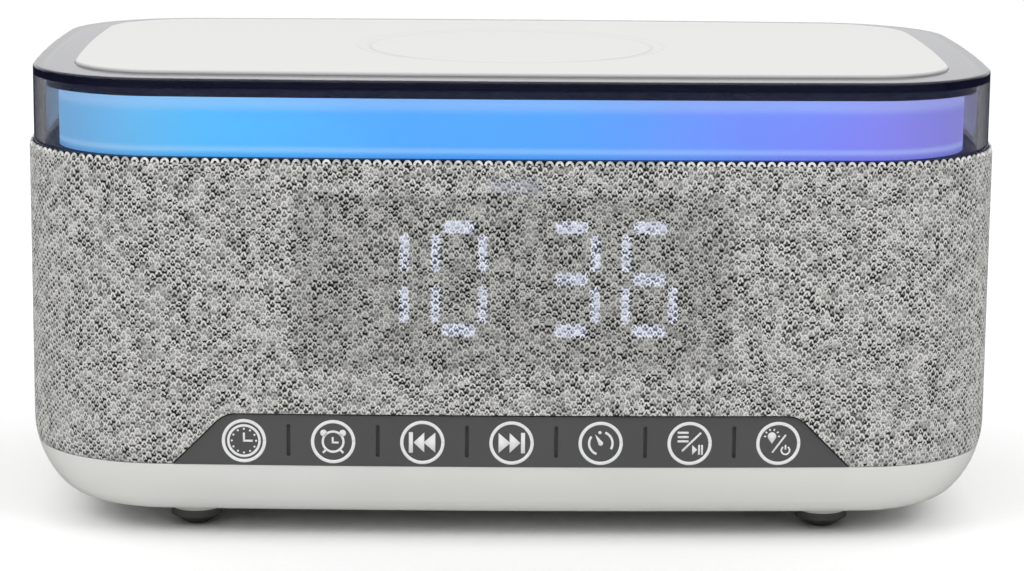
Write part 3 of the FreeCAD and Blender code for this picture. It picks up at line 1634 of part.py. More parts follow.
def make_light_carrier():
    """The dark tray under the plate: a flange over the light guide, a wall for the lamps and a coil cup."""
    item = new_body("light_carrier")
    low = deck_top() + s.seat_gap
    flange = plan_sketch(item, "flange", carrier_flange_low())
    add_outline(flange, s.carrier_flange_inset)
    pad(item, flange, s.carrier_flange_thickness)
    wall = plan_sketch(item, "wall", low)
    add_outline(wall, s.carrier_wall_inset)
    add_outline(wall, s.carrier_wall_inset + s.carrier_wall)
    pad(item, wall, carrier_top() - low)
    radius = s.shield_radius + s.cup_gap
    cup = plan_sketch(item, "cup", cup_floor() - s.cup_wall)
    add_circle(cup, 0, 0, radius + s.cup_wall)
    pad(item, cup, carrier_top() - cup_floor() + s.cup_wall)
    posts = plan_sketch(item, "posts", low)
    for name, right, back in CORNERS:
        add_circle(posts, carrier_post_x() * right, carrier_post_y() * back, s.carrier_post_radius)
    pad(item, posts, carrier_top() - low)
    room = plan_sketch(item, "room", carrier_top())
    add_circle(room, 0, 0, radius)
    pocket(item, room, carrier_top() - cup_floor())
    bores = plan_sketch(item, "bores", low)
    for name, right, back in CORNERS:
        spot = (carrier_post_x() * right, carrier_post_y() * back)
        add_circle(bores, *spot, s.board_screw_radius + s.screw_clearance)
    pocket(item, bores, s.carrier_screw_length, forwards=True)
    return item


def cup_floor():
    return coil_low() - s.seat_gap - s.shield_height - s.seat_gap


def coil_low():
    return carrier_top() - s.coil_height


def make_light_guide():
    """The milky ring between the chassis deck and the carrier's flange."""
    item = new_body("light_guide")
    low = deck_top() + s.seat_gap
    ring = plan_sketch(item, "ring", low)
    add_outline(ring, s.guide_inset)
    add_outline(ring, s.guide_inset + s.guide_thickness)
    pad(item, ring, carrier_flange_low() - s.seat_gap - low)
    return item


def lamp_level():
    """The middle level of the lamps, half way up the light guide."""
    return (deck_top() + carrier_flange_low()) / 2


def lamp_strip_inset():
    return s.carrier_wall_inset - s.seat_gap - s.lamp_strip_thickness


def make_lamp_strip():
    """The flexible strip that is wrapped round the carrier's wall."""
    item = new_body("lamp_strip")
    ring = plan_sketch(item, "ring", lamp_level() - s.lamp_strip_height / 2)
    add_outline(ring, lamp_strip_inset())
    add_outline(ring, lamp_strip_inset() + s.lamp_strip_thickness)
    pad(item, ring, s.lamp_strip_height)
    return item


def make_lamps():
    """Small square lamps on the strip, in rows along the front, the back and both sides."""
    lamps = []
    size = s.lamp_size
    low = lamp_level() - size / 2
    inset = lamp_strip_inset() - s.seat_gap - s.lamp_depth
    reach = s.body_width / 2 - s.corner_radius - s.lamp_front_margin
    for index in range(LAMPS_ALONG_FRONT):
        x = reach * row_share(index, LAMPS_ALONG_FRONT)
        near = front_of(inset) + bow_fall(inner_edge(x))
        for name, y in (("front", near), ("back", -near - s.lamp_depth)):
            lamps.append(new_box(f"lamp_{name}_{index + 1}", x, y, low, size, s.lamp_depth, size))
    reach = s.body_depth / 2 - s.corner_radius - s.lamp_side_margin
    for index in range(LAMPS_ALONG_SIDE):
        y = reach * row_share(index, LAMPS_ALONG_SIDE)
        x = s.body_width / 2 - inset - s.lamp_depth / 2 - side_fall(inner_edge(y))
        for name, side in SIDES:
            lamps.append(new_box(f"lamp_{name}_{index + 1}", x * side, y - size / 2, low, s.lamp_depth, size, size))
    return group("lamps", lamps)


def row_share(index, count):
    """A lamp's place in its row, from -1 at one end to 1 at the other."""
    return index * 2 / (count - 1) - 1


def inner_edge(place):
    """How far from the row's middle a lamp's nearer edge is. There the strip stands out furthest."""
    if number(place) == 0:
        return s.lamp_size * 0
    return (place if number(place) > 0 else -place) - s.lamp_size / 2


def make_charging_coil():
    """The flat wound coil, as the ring that its turns fill."""
    item = new_body("charging_coil")
    ring = plan_sketch(item, "ring", coil_low())
    add_circle(ring, 0, 0, s.coil_outer_radius)
    add_circle(ring, 0, 0, s.coil_inner_radius)
    pad(item, ring, s.coil_height)
    return item


def make_coil_shield():
    return new_cylinder("coil_shield", 0, 0, cup_floor() + s.seat_gap, s.shield_radius, s.shield_height)


def charger_board_low():
    return deck_top() + s.charger_standoff


def make_charger_board():
    item = new_body("charger_board")
    drawing = plan_sketch(item, "board", charger_board_low())
    half, deep = s.charger_board_width / 2, s.charger_board_depth / 2
    add_rectangle(drawing, -half, half, -deep, deep)
    for x, y in charger_board_corners():
        add_circle(drawing, x, y, s.board_screw_radius + s.screw_clearance)
    pad(item, drawing, s.board_thickness)
    return item


def make_charger_parts():
    """Two chokes, a chip and a plug on the charger board."""
    top = charger_board_low() + s.board_thickness
    parts = [sized_box(f"choke_{name}", top, lambda y: y, "choke", side) for name, side in SIDES]
    parts += [sized_box(name, top, lambda y: y) for name in ("charger_chip", "charger_plug")]
    return group("charger_parts", parts)


# Feet and fasteners

def make_foot_pad(name, right, back):
    """A tapered rubber pad with a rounded tread, seated in its recess."""
    item = new_body(f"foot_pad_{name}")
    drawing = front_sketch(item, "section", 0)
    axis = s.foot_pad_top_radius * 0
    ground = s.foot_pad_height * 0
    seat = foot_seat() - s.seat_gap
    mouth = foot_seat() - s.foot_pad_recess
    tread, wide = s.foot_pad_bottom_radius, s.foot_pad_top_radius
    add_polygon(drawing, [(axis, ground), (tread, ground), (wide, mouth), (wide, seat), (axis, seat)])
    spun(item, "Revolution", drawing, "V_Axis")
    rounded(item, "tread", lambda edge: lies_at(edge, ground), s.foot_pad_rounding)
    item.Placement = FreeCAD.Placement()
    bind(item, "Placement.Base.x", foot_x() * right)
    bind(item, "Placement.Base.y", foot_y() * back)
    return item


def make_base_screws():
    size = (s.screw_radius, s.screw_length, s.screw_head_radius, s.screw_head_height)
    screws = []
    for name, right, back in CORNERS:
        spot = (post_x() * right, post_y() * back, screw_seat())
        screws.append(new_screw(f"base_screw_{name}", *spot, UPRIGHT, (0, 0, 1), *size))
    return group("base_screws", screws)


def make_board_screws():
    """Screws of one size for the main board, the display board and the charger board."""
    length = s.board_screw_grip + s.board_thickness
    size = (s.board_screw_radius, length, s.board_screw_head_radius, s.board_screw_head_height)
    screws = []
    for index, (x, y) in enumerate(main_board_corners()):
        screws.append(new_screw(f"main_board_screw_{index}", x, y, board_top(), DOWNWARD, (0, 0, -1), *size))
    back = front_of(display_board_inset()) + s.board_thickness
    for index, (x, z) in enumerate(display_posts_places()):
        screws.append(new_screw(f"display_screw_{index}", x, back, z, FORWARD, (0, -1, 0), *size))
    top = charger_board_low() + s.board_thickness
    for index, (x, y) in enumerate(charger_board_corners()):
        screws.append(new_screw(f"charger_screw_{index}", x, y, top, DOWNWARD, (0, 0, -1), *size))
    return group("board_screws", screws)


def make_speaker_screws():
    size = (s.board_screw_radius, s.speaker_screw_length, s.board_screw_head_radius, s.board_screw_head_height)
    screws = []
    for name, side in SIDES:
        for index, (y, z) in enumerate(speaker_corners()):
            spot = (flange_back() * side, y, s.speaker_level + z)
            label = f"speaker_screw_{name}_{index}"
            screws.append(new_screw(label, *spot, OUTWARD[side], (side, 0, 0), *size))
    return group("speaker_screws", screws)


def make_carrier_screws():
    length = s.chassis_deck_thickness + s.carrier_screw_length - s.weld
    size = (s.board_screw_radius, length, s.board_screw_head_radius, s.board_screw_head_height)
    screws = []
    for name, right, back in CORNERS:
        spot = (carrier_post_x() * right, carrier_post_y() * back, deck_top() - s.chassis_deck_thickness)
        screws.append(new_screw(f"carrier_screw_{name}", *spot, UPRIGHT, (0, 0, 1), *size))
    return group("carrier_screws", screws)


# The whole clock

def make_all():
    pieces = [
        make_base_shell(),
        make_knit_sleeve(),
        make_chassis(),
        make_top_cover(),
        make_charging_plate(),
        make_key_strip(),
        make_switch_bodies(),
        make_key_board(),
        make_display_window(),
        make_digit_block(),
        make_display_board(),
        make_display_ribbon(),
        make_main_board(),
        make_main_board_parts(),
        make_cell_holder(),
        make_backup_cell(),
        make_power_inlet(),
        make_back_panel(),
        make_speaker_leads(),
        make_light_carrier(),
        make_light_guide(),
        make_lamp_strip(),
        make_lamps(),
        make_charging_coil(),
        make_coil_shield(),
        make_charger_board(),
        make_charger_parts(),
        make_base_screws(),
        make_board_screws(),
        make_speaker_screws(),
        make_carrier_screws(),
    ]
    for label, column in zip(KEYS, key_columns()):
        pieces.append(make_key(label, column))
        pieces.append(make_plunger(f"{label}_plunger", column))
    for name, side in SIDES:
        pieces.append(make_speaker_frame(name, side))
        pieces.append(make_speaker_magnet(name, side))
        pieces.append(make_speaker_gasket(name, side))
        pieces.append(make_speaker_surround(name, side))
        pieces.append(make_speaker_cone(name, side))
    for name, right, back in CORNERS:
        pieces.append(make_foot_pad(name, right, back))
    return pieces


def write_all(pieces):
    """Checks every object and every piece, then writes one file for each piece."""
    doc.recompute()
    for item in doc.Objects:
        if {"Invalid", "Error"} & set(item.State):
            raise RuntimeError(f"{item.Name} didn't compute: {item.State}")
    for item in pieces:
        if item.Shape.isNull() or not item.Shape.isValid() or not item.Shape.Solids:
            raise RuntimeError(f"{item.Label} has no sound solid")
    os.makedirs("parts", exist_ok=True)
    for item in pieces:
        item.Shape.exportStep(f"parts/{item.Label}.step")
        print(item.Label, len(item.Shape.Solids), round(item.Shape.Volume, 1))


write_all(make_all())
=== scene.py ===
"""A bedside talking clock: knitted sleeve, lit band under a smoked cover, charging plate, key strip."""

import math

import bmesh
import bpy
import numpy as np
from mathutils import Matrix, Vector


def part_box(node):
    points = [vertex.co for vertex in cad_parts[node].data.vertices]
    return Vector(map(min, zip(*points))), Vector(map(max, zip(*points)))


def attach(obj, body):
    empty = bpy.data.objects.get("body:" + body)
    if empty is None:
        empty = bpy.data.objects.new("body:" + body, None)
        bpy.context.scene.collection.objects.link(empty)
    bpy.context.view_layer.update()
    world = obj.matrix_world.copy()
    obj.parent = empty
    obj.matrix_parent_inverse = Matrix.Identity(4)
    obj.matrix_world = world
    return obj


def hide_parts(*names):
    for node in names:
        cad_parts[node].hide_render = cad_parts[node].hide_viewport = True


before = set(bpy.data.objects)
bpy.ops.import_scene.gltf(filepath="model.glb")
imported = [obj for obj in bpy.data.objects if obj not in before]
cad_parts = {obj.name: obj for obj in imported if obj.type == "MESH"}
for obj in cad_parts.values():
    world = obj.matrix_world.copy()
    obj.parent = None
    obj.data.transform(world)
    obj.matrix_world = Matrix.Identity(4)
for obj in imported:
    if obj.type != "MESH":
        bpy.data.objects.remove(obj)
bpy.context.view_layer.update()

bl_info = {
    "name": "Talking clock",
    "version": (1, 0, 0),
    "blender": (4, 5, 0),
    "location": "View3D > Sidebar > Clock",
    "description": "Dresses the packed talking clock with knit, plastics, light and printed icons",
    "category": "Add Mesh",
}

MM = 0.001
SLEEVE_LOW, SLEEVE_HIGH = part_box("knit_sleeve")
STRIP_LOW, STRIP_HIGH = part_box("key_strip")
GUIDE_LOW, GUIDE_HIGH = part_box("light_guide")
PANEL_LOW, PANEL_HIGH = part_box("back_panel")
KEY_NAMES = ("clock", "alarm", "previous", "next", "timer", "mode", "light")
SIDES = ("left", "right")
CORNERS = ("front_left", "front_right", "back_left", "back_right")
BLACK = (0.0, 0.0, 0.0)
WHITE = (1.0, 1.0, 1.0)


# Settings

def amount(name, value, description, **kind):
    return bpy.props.FloatProperty(name=name, default=value, description=description, **kind)


def length(name, value, description):
    return amount(name, value, description, unit="LENGTH", precision=5)


def tint(name, red, green, blue, description):
    """A colour given as it looks on a screen, from 0 to 255, and kept as linear light."""
    return bpy.props.FloatVectorProperty(
        name=name,
        default=linear(red, green, blue),
        description=description,
        subtype="COLOR",
        min=0.0,
        max=1.0,
    )


def linear(red, green, blue):
    """Screen levels from 0 to 255 as linear light, by the usual curve."""
    levels = np.array((red, green, blue)) / 255.0
    light = np.where(levels <= 0.04045, levels / 12.92, ((levels + 0.055) / 1.055) ** 2.4)
    return tuple(float(value) for value in light)


class ClockOutline(bpy.types.PropertyGroup):
    """The sleeve's outline in plan and its curve under it"""

    width: length("Width", SLEEVE_HIGH.x - SLEEVE_LOW.x, "Across the sleeve")
    depth: length("Depth", SLEEVE_HIGH.y - SLEEVE_LOW.y, "Front to back of the sleeve")
    bow_radius: length("Bow radius", 1.5, "Radius of the gently bowed front and back")
    side_radius: length("Side radius", 0.6, "Radius of the bowed sides")
    corner_radius: length("Corner radius", 0.026, "Radius of the upright corners")
    blend_start: length("Curve start", 0.020, "Height at which the side starts to curve in")
    blend_radius: length("Curve radius", 0.01901, "Radius of the curve below it")


class ClockKnit(bpy.types.PropertyGroup):
    """The sleeve's knit and its looped top edge"""

    column_pitch: length("Column pitch", 0.00091, "Distance between two columns of stitches")
    row_pitch: length("Row pitch", 0.00133, "Distance between two stitches of one column")
    thickness: length("Thickness", 0.0008, "Thickness of the sleeve")
    loop_pitch: length("Edge loops", 0.0018, "Distance between two loops of the top edge")
    loop_height: length("Loop height", 0.0011, "Height of a loop of the top edge")
    loop_rise: length("Loop rise", 0.00045, "How far the loops of the top edge stand above the skin")
    yarn_radius: length("Yarn radius", 0.00026, "Radius of the yarn of the top edge")
    light_yarn: tint("Light yarn", 247, 246, 242, "Colour of the light yarn")
    dark_yarn: tint("Dark yarn", 184, 184, 181, "Colour of the dark yarn")
    # Painted shade: the dark seen between and under the stitches.
    gap: tint("Gaps", 24, 24, 24, "Colour seen between the stitches")


class ClockGlow(bpy.types.PropertyGroup):
    """The lit band and the lit digits"""

    left: tint("Left", 84, 198, 252, "Light on the left")
    middle: tint("Middle", 82, 168, 254, "Light in the middle")
    right: tint("Right", 130, 128, 248, "Light on the right")
    ends: tint("Ends", 140, 134, 172, "Greyer light at both ends")
    top: tint("Top", 190, 214, 250, "Paler light near the band's top")
    line: tint("Line", 180, 215, 252, "The pale line low in the band")
    foot: tint("Foot", 40, 96, 190, "Deeper light at the band's lower edge")
    strength: amount("Strength", 1.9, "Strength of the band's light")
    digits: tint("Digits", 214, 222, 255, "Colour of the lit digits")
    # Painted light: a dim glow mixed into the knit's colour over the digits.
    painted_patch_glow: tint("Patch", 112, 124, 176, "The dim patch over the digits")
    stray_cover: tint("Stray light, cover", 14, 16, 36, "Lamp light that the cover spreads")
    stray_tray: tint("Stray light, tray", 10, 14, 42, "Lamp light that the tray sends back")


class ClockFinish(bpy.types.PropertyGroup):
    """The outer pieces' colours"""

    base: tint("Base", 223, 223, 219, "Plastic of the base")
    plate: tint("Plate", 208, 208, 206, "Plastic of the charging plate")
    cover: tint("Cover", 40, 40, 41, "Tint of the smoke in the cover")
    smoke: amount("Smoke", 320.0, "How fast the cover swallows light, per metre")
    strip: tint("Key strip", 84, 84, 85, "Rubbery dark plastic of the key strip")
    print: tint("Icons", 232, 232, 232, "Ink of the printed icons")
    tray: tint("Tray", 10, 12, 26, "Plastic of the tray under the deck")
    foot: tint("Feet", 92, 92, 89, "Rubber of the feet")


class ClockStudio(bpy.types.PropertyGroup):
    """Camera and light"""

    camera: bpy.props.FloatVectorProperty(
        name="Camera",
        default=(-0.009036, -0.607719, 0.154155),
        description="The camera's place from the middle of the clock's foot",
        subtype="TRANSLATION",
        unit="LENGTH",
    )
    yaw: amount("Yaw", 0.016, "Turn to the right", unit="ROTATION")
    pitch: amount("Pitch", 0.188, "Tilt down", unit="ROTATION")
    roll: amount("Roll", 0.009, "Turn about the line of sight", unit="ROTATION")
    lens: amount("Lens", 110.69, "Focal length in mm on a 36 mm sensor")
    sky: amount("Sky", 1.14, "Strength of the light from above")
    backdrop: amount("Backdrop", 1.0, "Strength of the light from behind")
    seen: amount("Seen", 1.02, "Strength of the white that the camera sees")
    key_light: amount("Front light", 1.9, "Power of the two front lamps", unit="POWER")
    top_light: amount("Top light", 0.3, "Power of the top lamp", unit="POWER")


SETTINGS = {
    "clock_outline": ClockOutline,
    "clock_knit": ClockKnit,
    "clock_glow": ClockGlow,
    "clock_finish": ClockFinish,
    "clock_studio": ClockStudio,
}


def chosen(group):
    """A settings group of the scene, by the end of its name."""
    return getattr(bpy.context.scene, f"clock_{group}")


# The outline in plan

class Stations:
    """Places round the outline, by their distance along it from the middle of the front to the right."""

    def __init__(self, along):
        """The outline is ten arcs. Each place has its arc's centre and radius, and the way out."""
        arcs = outline_arcs()
        lengths = arcs[:, 2] * (arcs[:, 4] - arcs[:, 3])
        ends = np.cumsum(lengths)
        self.total = ends[-1]
        self.along = np.asarray(along, float)
        place = np.mod(self.along, self.total)
        which = np.searchsorted(ends, place, side="right").clip(0, len(arcs) - 1)
        angle = arcs[which, 3] + (place - ends[which] + lengths[which]) / arcs[which, 2]
        self.centre = arcs[which, :2]
        self.radius = arcs[which, 2]
        self.out = np.stack([np.cos(angle), np.sin(angle)], axis=1)

    def ring(self, inset, height):
        """centre + (radius - inset) x way out, at a height. Both may differ from place to place."""
        flat = self.centre + (self.radius - inset)[:, None] * self.out
        return np.column_stack([flat, np.broadcast_to(height, self.along.shape)])


def outline_arcs():
    """Rows of x, y, radius, first angle and last angle. Bows and corners are tangent where they meet:
    a corner's centre is where a circle about the bow's centre and one about the side's centre cross.
    The second half of the rows is the first half turned about the middle."""
    sizes = chosen("outline")
    bow, beside, corner = sizes.bow_radius, sizes.side_radius, sizes.corner_radius
    front = np.array((0.0, bow - sizes.depth / 2))
    side = np.array((sizes.width / 2 - beside, 0.0))
    apart = side - front
    span = np.hypot(*apart)
    ahead = apart / span
    along = (span ** 2 + (bow - corner) ** 2 - (beside - corner) ** 2) / (2 * span)
    reach = math.sqrt((bow - corner) ** 2 - along ** 2)
    square = np.array((-ahead[1], ahead[0]))
    candidates = (front + ahead * along + square * reach, front + ahead * along - square * reach)
    centre = max(candidates, key=lambda place: place[0])
    x, y = abs(centre[0]), -abs(centre[1])
    front_angle = math.asin(x / (bow - corner))
    side_angle = math.asin(-y / (beside - corner))
    quarter = math.pi / 2
    rows = [
        (0.0, front[1], bow, -quarter, -quarter + front_angle),
        (x, y, corner, -quarter + front_angle, -side_angle),
        (side[0], 0.0, beside, -side_angle, side_angle),
        (x, -y, corner, side_angle, quarter - front_angle),
        (0.0, -front[1], bow, quarter - front_angle, quarter),
    ]
    half = np.array(rows)
    return np.concatenate([half, half * (-1, -1, 1, 1, 1) + (0, 0, 0, math.pi, math.pi)])


def inset_at(height):
    """How far the side has curved in at a height: radius - root of (radius squared - drop squared)."""
    sizes = chosen("outline")
    drop = np.maximum(sizes.blend_start - np.asarray(height), 0.0)
    return sizes.blend_radius - np.sqrt(sizes.blend_radius ** 2 - drop ** 2)


def front_y(x, inset):
    """The front bow's y at an x, at an inset: centre - root of (radius squared - x squared)."""
    sizes = chosen("outline")
    radius = sizes.bow_radius - inset
    return sizes.bow_radius - sizes.depth / 2 - np.sqrt(radius ** 2 - np.asarray(x) ** 2)


# Meshes

def grid_faces(rows, columns, closed=False):
    """Four-cornered faces between the neighbours of a grid of points, numbered row by row."""
    faces_across = columns if closed else columns - 1
    row, column = np.meshgrid(np.arange(rows - 1), np.arange(faces_across), indexing="ij")
    beside = (column + 1) % columns
    near, far = row * columns, (row + 1) * columns
    return np.stack([near + column, near + beside, far + beside, far + column], axis=-1).reshape(-1, 4)


def gathered(parts):
    """Several (points, faces) as one."""
    points, faces, first = [], [], 0
    for some_points, some_faces in parts:
        points.append(some_points)
        faces.extend((np.asarray(some_faces) + first).tolist())
        first += len(some_points)
    return np.concatenate(points), faces


def added(name, data):
    """A new object of the scene."""
    item = bpy.data.objects.new(name, data)
    bpy.context.scene.collection.objects.link(item)
    return item


def new_piece(name, parts, material, body, replaced=(), sharp=35.0):
    """Makes a mesh object of (points, faces) parts, in metres, and ties it to its body."""
    points, faces = gathered(parts)
    mesh = bpy.data.meshes.new(name)
    mesh.from_pydata(points.tolist(), [], faces)
    mesh.shade_smooth()
    mesh.set_sharp_from_angle(angle=math.radians(sharp))
    mesh.validate()
    mesh.materials.append(material)
    piece = added(name, mesh)
    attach(piece, body)
    if replaced:
        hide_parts(*replaced)
    return piece


def turns(steps):
    """Directions all round a circle."""
    angle = np.linspace(0.0, 2 * math.pi, steps, endpoint=False)
    return np.stack([np.cos(angle), np.sin(angle)], axis=1)


def mend_seams(piece):
    """Merges the points that two grids share."""
    mesh = bmesh.new()
    mesh.from_mesh(piece.data)
    bmesh.ops.remove_doubles(mesh, verts=mesh.verts, dist=0.01 * MM)
    mesh.to_mesh(piece.data)
    mesh.free()


def dress(material, *names):
    """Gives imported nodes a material."""
    for name in names:
        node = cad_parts[name]
        node.data.materials.clear()
        node.data.materials.append(material)


# Materials

class Nodes:
    """Builds a node tree. Sockets are given by name, as numbers, colours or other nodes' outputs."""

    def __init__(self, owner, output):
        owner.use_nodes = True
        self.owner = owner
        self.tree = owner.node_tree
        self.tree.nodes.clear()
        self.output = self.node(output)

    def node(self, kind, inputs=None, **options):
        node = self.tree.nodes.new("ShaderNode" + kind)
        for key, value in options.items():
            setattr(node, key, value)
        for key, value in (inputs or {}).items():
            self.feed(node.inputs[key], value)
        return node

    def made(self, kind, inputs=None, **options):
        """A new node's first output."""
        return self.node(kind, inputs, **options).outputs[0]

    def feed(self, socket, value):
        if isinstance(value, bpy.types.NodeSocket):
            self.tree.links.new(value, socket)
        elif socket.type == "RGBA" and len(value) == 3:
            socket.default_value = (*value, 1.0)
        else:
            socket.default_value = value

    def attribute(self, name):
        return self.node("Attribute", attribute_name=name).outputs

    def moved(self, vector, scale=(1.0, 1.0, 1.0), shift=(0.0, 0.0, 0.0)):
        inputs = {"Vector": vector, "Scale": scale, "Location": shift}
        return self.made("Mapping", inputs)

    def axes(self, vector):
        return self.node("SeparateXYZ", {0: vector}).outputs

    def calc(self, operation, *values):
        return self.made("Math", dict(enumerate(values)), operation=operation)

    def product(self, first, *others):
        for other in others:
            first = self.calc("MULTIPLY", first, other)
        return first

    def largest(self, first, *others):
        for other in others:
            first = self.calc("MAXIMUM", first, other)
        return first

    def less(self, first, second):
        return self.calc("SUBTRACT", first, second)

    def off(self, value, middle):
        """How far a value is from a middle, either way."""
        return self.calc("ABSOLUTE", self.less(value, middle))

    def from_axis(self, x, y):
        """Distance from the upright axis: root of (x squared + y squared)."""
        return self.calc("SQRT", self.calc("MULTIPLY_ADD", x, x, self.calc("MULTIPLY", y, y)))

    def ramp(self, value, low, high, to_low=0.0, to_high=1.0, soft=True):
        """Carries a value's range from low to high over to another range."""
        kind = "SMOOTHSTEP" if soft else "LINEAR"
        inputs = {"Value": value, "From Min": low, "From Max": high, "To Min": to_low, "To Max": to_high}
        return self.made("MapRange", inputs, interpolation_type=kind)

    def noise(self, vector, scale, detail=2.0, roughness=0.5):
        inputs = {"Vector": vector, "Scale": scale, "Detail": detail, "Roughness": roughness}
        return self.made("TexNoise", inputs)

    def mix(self, factor, first, second):
        node = self.node("Mix", {0: factor}, data_type="RGBA")
        self.feed(node.inputs[6], first)
        self.feed(node.inputs[7], second)
        return node.outputs[2]

    def blend(self, value, low, high, first, second, most=1.0):
        """The first colour at low, the second at high, or as much of the second as most allows."""
        return self.mix(self.ramp(value, low, high, 0.0, most), first, second)

    def bump(self, height, distance, strength=1.0):
        inputs = {"Height": height, "Distance": distance, "Strength": strength}
        return self.made("Bump", inputs)

    def done(self, **sockets):
        """Ends a material in one shader. Its sockets are named with underscores for spaces."""
        names = {key.replace("_", " "): value for key, value in sockets.items()}
        shader = self.made("BsdfPrincipled", names)
        self.tree.links.new(shader, self.output.inputs["Surface"])
        return self.owner


def finish_nodes(name):
    """A new material's node tree. Its here is the place on the piece, in metres."""
    nodes = Nodes(bpy.data.materials.new(name), "OutputMaterial")
    nodes.here = nodes.node("TexCoord").outputs["Object"]
    return nodes


def darker(colour, share):
    return tuple(value * share for value in colour)


def moulded(name, colour, roughness=0.45, grain=2600.0, depth=0.02 * MM, drift=0.06):
    """Moulded plastic: a fine spark-eroded grain in relief, and a slow drift of tone and gloss."""
    f = finish_nodes(name)
    fine = f.noise(f.here, grain, 3.0, 0.6)
    slow = f.noise(f.here, 60.0)
    dull = darker(colour, 1.0 - drift)
    tone = f.blend(slow, 0.3, 0.7, dull, colour)
    return f.done(
        Base_Color=f.blend(fine, 0.35, 0.65, tone, dull, most=0.5),
        Roughness=f.ramp(slow, 0.3, 0.7, roughness * 0.92, roughness * 1.08),
        Normal=f.bump(fine, depth, 0.6),
    )


def metal(name, colour, roughness):
    """Worked metal: fine lines along the height, with spots of duller skin."""
    f = finish_nodes(name)
    lines = f.noise(f.moved(f.here, (1.0, 1.0, 30.0)), 900.0, 3.0, 0.6)
    skin = f.noise(f.here, 500.0)
    return f.done(
        Base_Color=f.blend(skin, 0.35, 0.7, darker(colour, 0.82), colour),
        Metallic=1.0,
        Roughness=f.ramp(lines, 0.3, 0.7, roughness * 0.75, roughness * 1.3),
        Normal=f.bump(lines, 0.01 * MM, 0.5),
    )


def circuit(name, colour):
    """A printed board: lacquer over faint tracks in a loose square pattern, with rows of small pads."""
    f = finish_nodes(name)
    squares = {"Vector": f.here, "Scale": 420.0, "Randomness": 0.55}
    spots = {"Vector": f.here, "Scale": 380.0, "Randomness": 0.2}
    tracks = f.node("TexVoronoi", squares, distance="MANHATTAN").outputs["Distance"]
    pads = f.node("TexVoronoi", spots).outputs["Distance"]
    lines = f.ramp(tracks, 0.28, 0.34)
    lacquer = f.mix(f.product(lines, 0.5), darker(colour, 0.7), colour)
    dots = f.ramp(pads, 0.12, 0.16, 0.8, 0.0)
    return f.done(
        Base_Color=f.mix(dots, lacquer, linear(196, 178, 120)),
        Roughness=0.35,
        Normal=f.bump(lines, 0.02 * MM, 0.5),
        Coat_Weight=0.3,
    )


def polished(name, colour, roughness, **sockets):
    """Dark polished plastic with faint swirl marks."""
    f = finish_nodes(name)
    swirl = f.noise(f.moved(f.here, (1.0, 4.0, 1.0)), 200.0, 3.0)
    return f.done(
        Base_Color=f.blend(swirl, 0.3, 0.7, darker(colour, 0.75), colour),
        Roughness=f.ramp(swirl, 0.3, 0.7, roughness * 0.8, roughness * 1.3),
        Normal=f.bump(swirl, 0.01 * MM, 0.3),
        **sockets,
    )


def smoked(name):
    """Smoked clear plastic: it bends the light, swallows it by depth, and has fine scuffs."""
    f = finish_nodes(name)
    finish = chosen("finish")
    drift = f.noise(f.here, 40.0)
    scuffs = f.noise(f.here, 900.0, 3.0)
    smoke = f.node("VolumeAbsorption", {"Color": finish.cover, "Density": finish.smoke})
    f.tree.links.new(smoke.outputs[0], f.output.inputs["Volume"])
    return f.done(
        Base_Color=f.blend(drift, 0.3, 0.7, linear(248, 248, 248), linear(252, 252, 252)),
        Roughness=f.ramp(scuffs, 0.3, 0.7, 0.0, 0.03),
        Transmission_Weight=1.0,
        IOR=1.49,
        Emission_Color=chosen("glow").stray_cover,
        Emission_Strength=0.8,
    )


def lit_band(name):
    """Milky plastic lit from behind: blue to violet from left to right and greyer at both ends. Up its
    height it has a deeper foot, a pale line low down and a paler top."""
    glow = chosen("glow")
    half = chosen("outline").width / 2
    tall = GUIDE_HIGH.z - GUIDE_LOW.z
    f = finish_nodes(name)
    x, _, z = f.axes(f.here)
    cloud = f.noise(f.moved(f.here, (1.0, 1.0, 3.0)), 30.0)
    sway = f.calc("MULTIPLY_ADD", f.less(cloud, 0.5), 30.0 * MM, x)

    def rise(low, high, to_low=0.0, to_high=1.0):
        """A ramp between two shares of the band's height."""
        return f.ramp(z, GUIDE_LOW.z + tall * low, GUIDE_LOW.z + tall * high, to_low, to_high)

    hue = f.blend(sway, -half, 0.0, glow.left, glow.middle)
    hue = f.blend(sway, 0.0, half * 0.85, hue, glow.right)
    hue = f.blend(f.off(x, 0.0), half * 0.55, half * 0.95, hue, glow.ends, most=0.45)
    light = f.mix(rise(0.70, 0.88, 0.0, 0.30), hue, glow.top)
    light = f.mix(f.product(rise(0.06, 0.12), rise(0.13, 0.21, 0.35, 0.0)), light, glow.line)
    light = f.mix(rise(0.0, 0.09, 0.4, 0.0), light, glow.foot)
    return f.done(
        Base_Color=f.mix(0.3, darker(glow.middle, 0.2), light),
        Roughness=0.4,
        Emission_Color=light,
        Emission_Strength=glow.strength,
    )


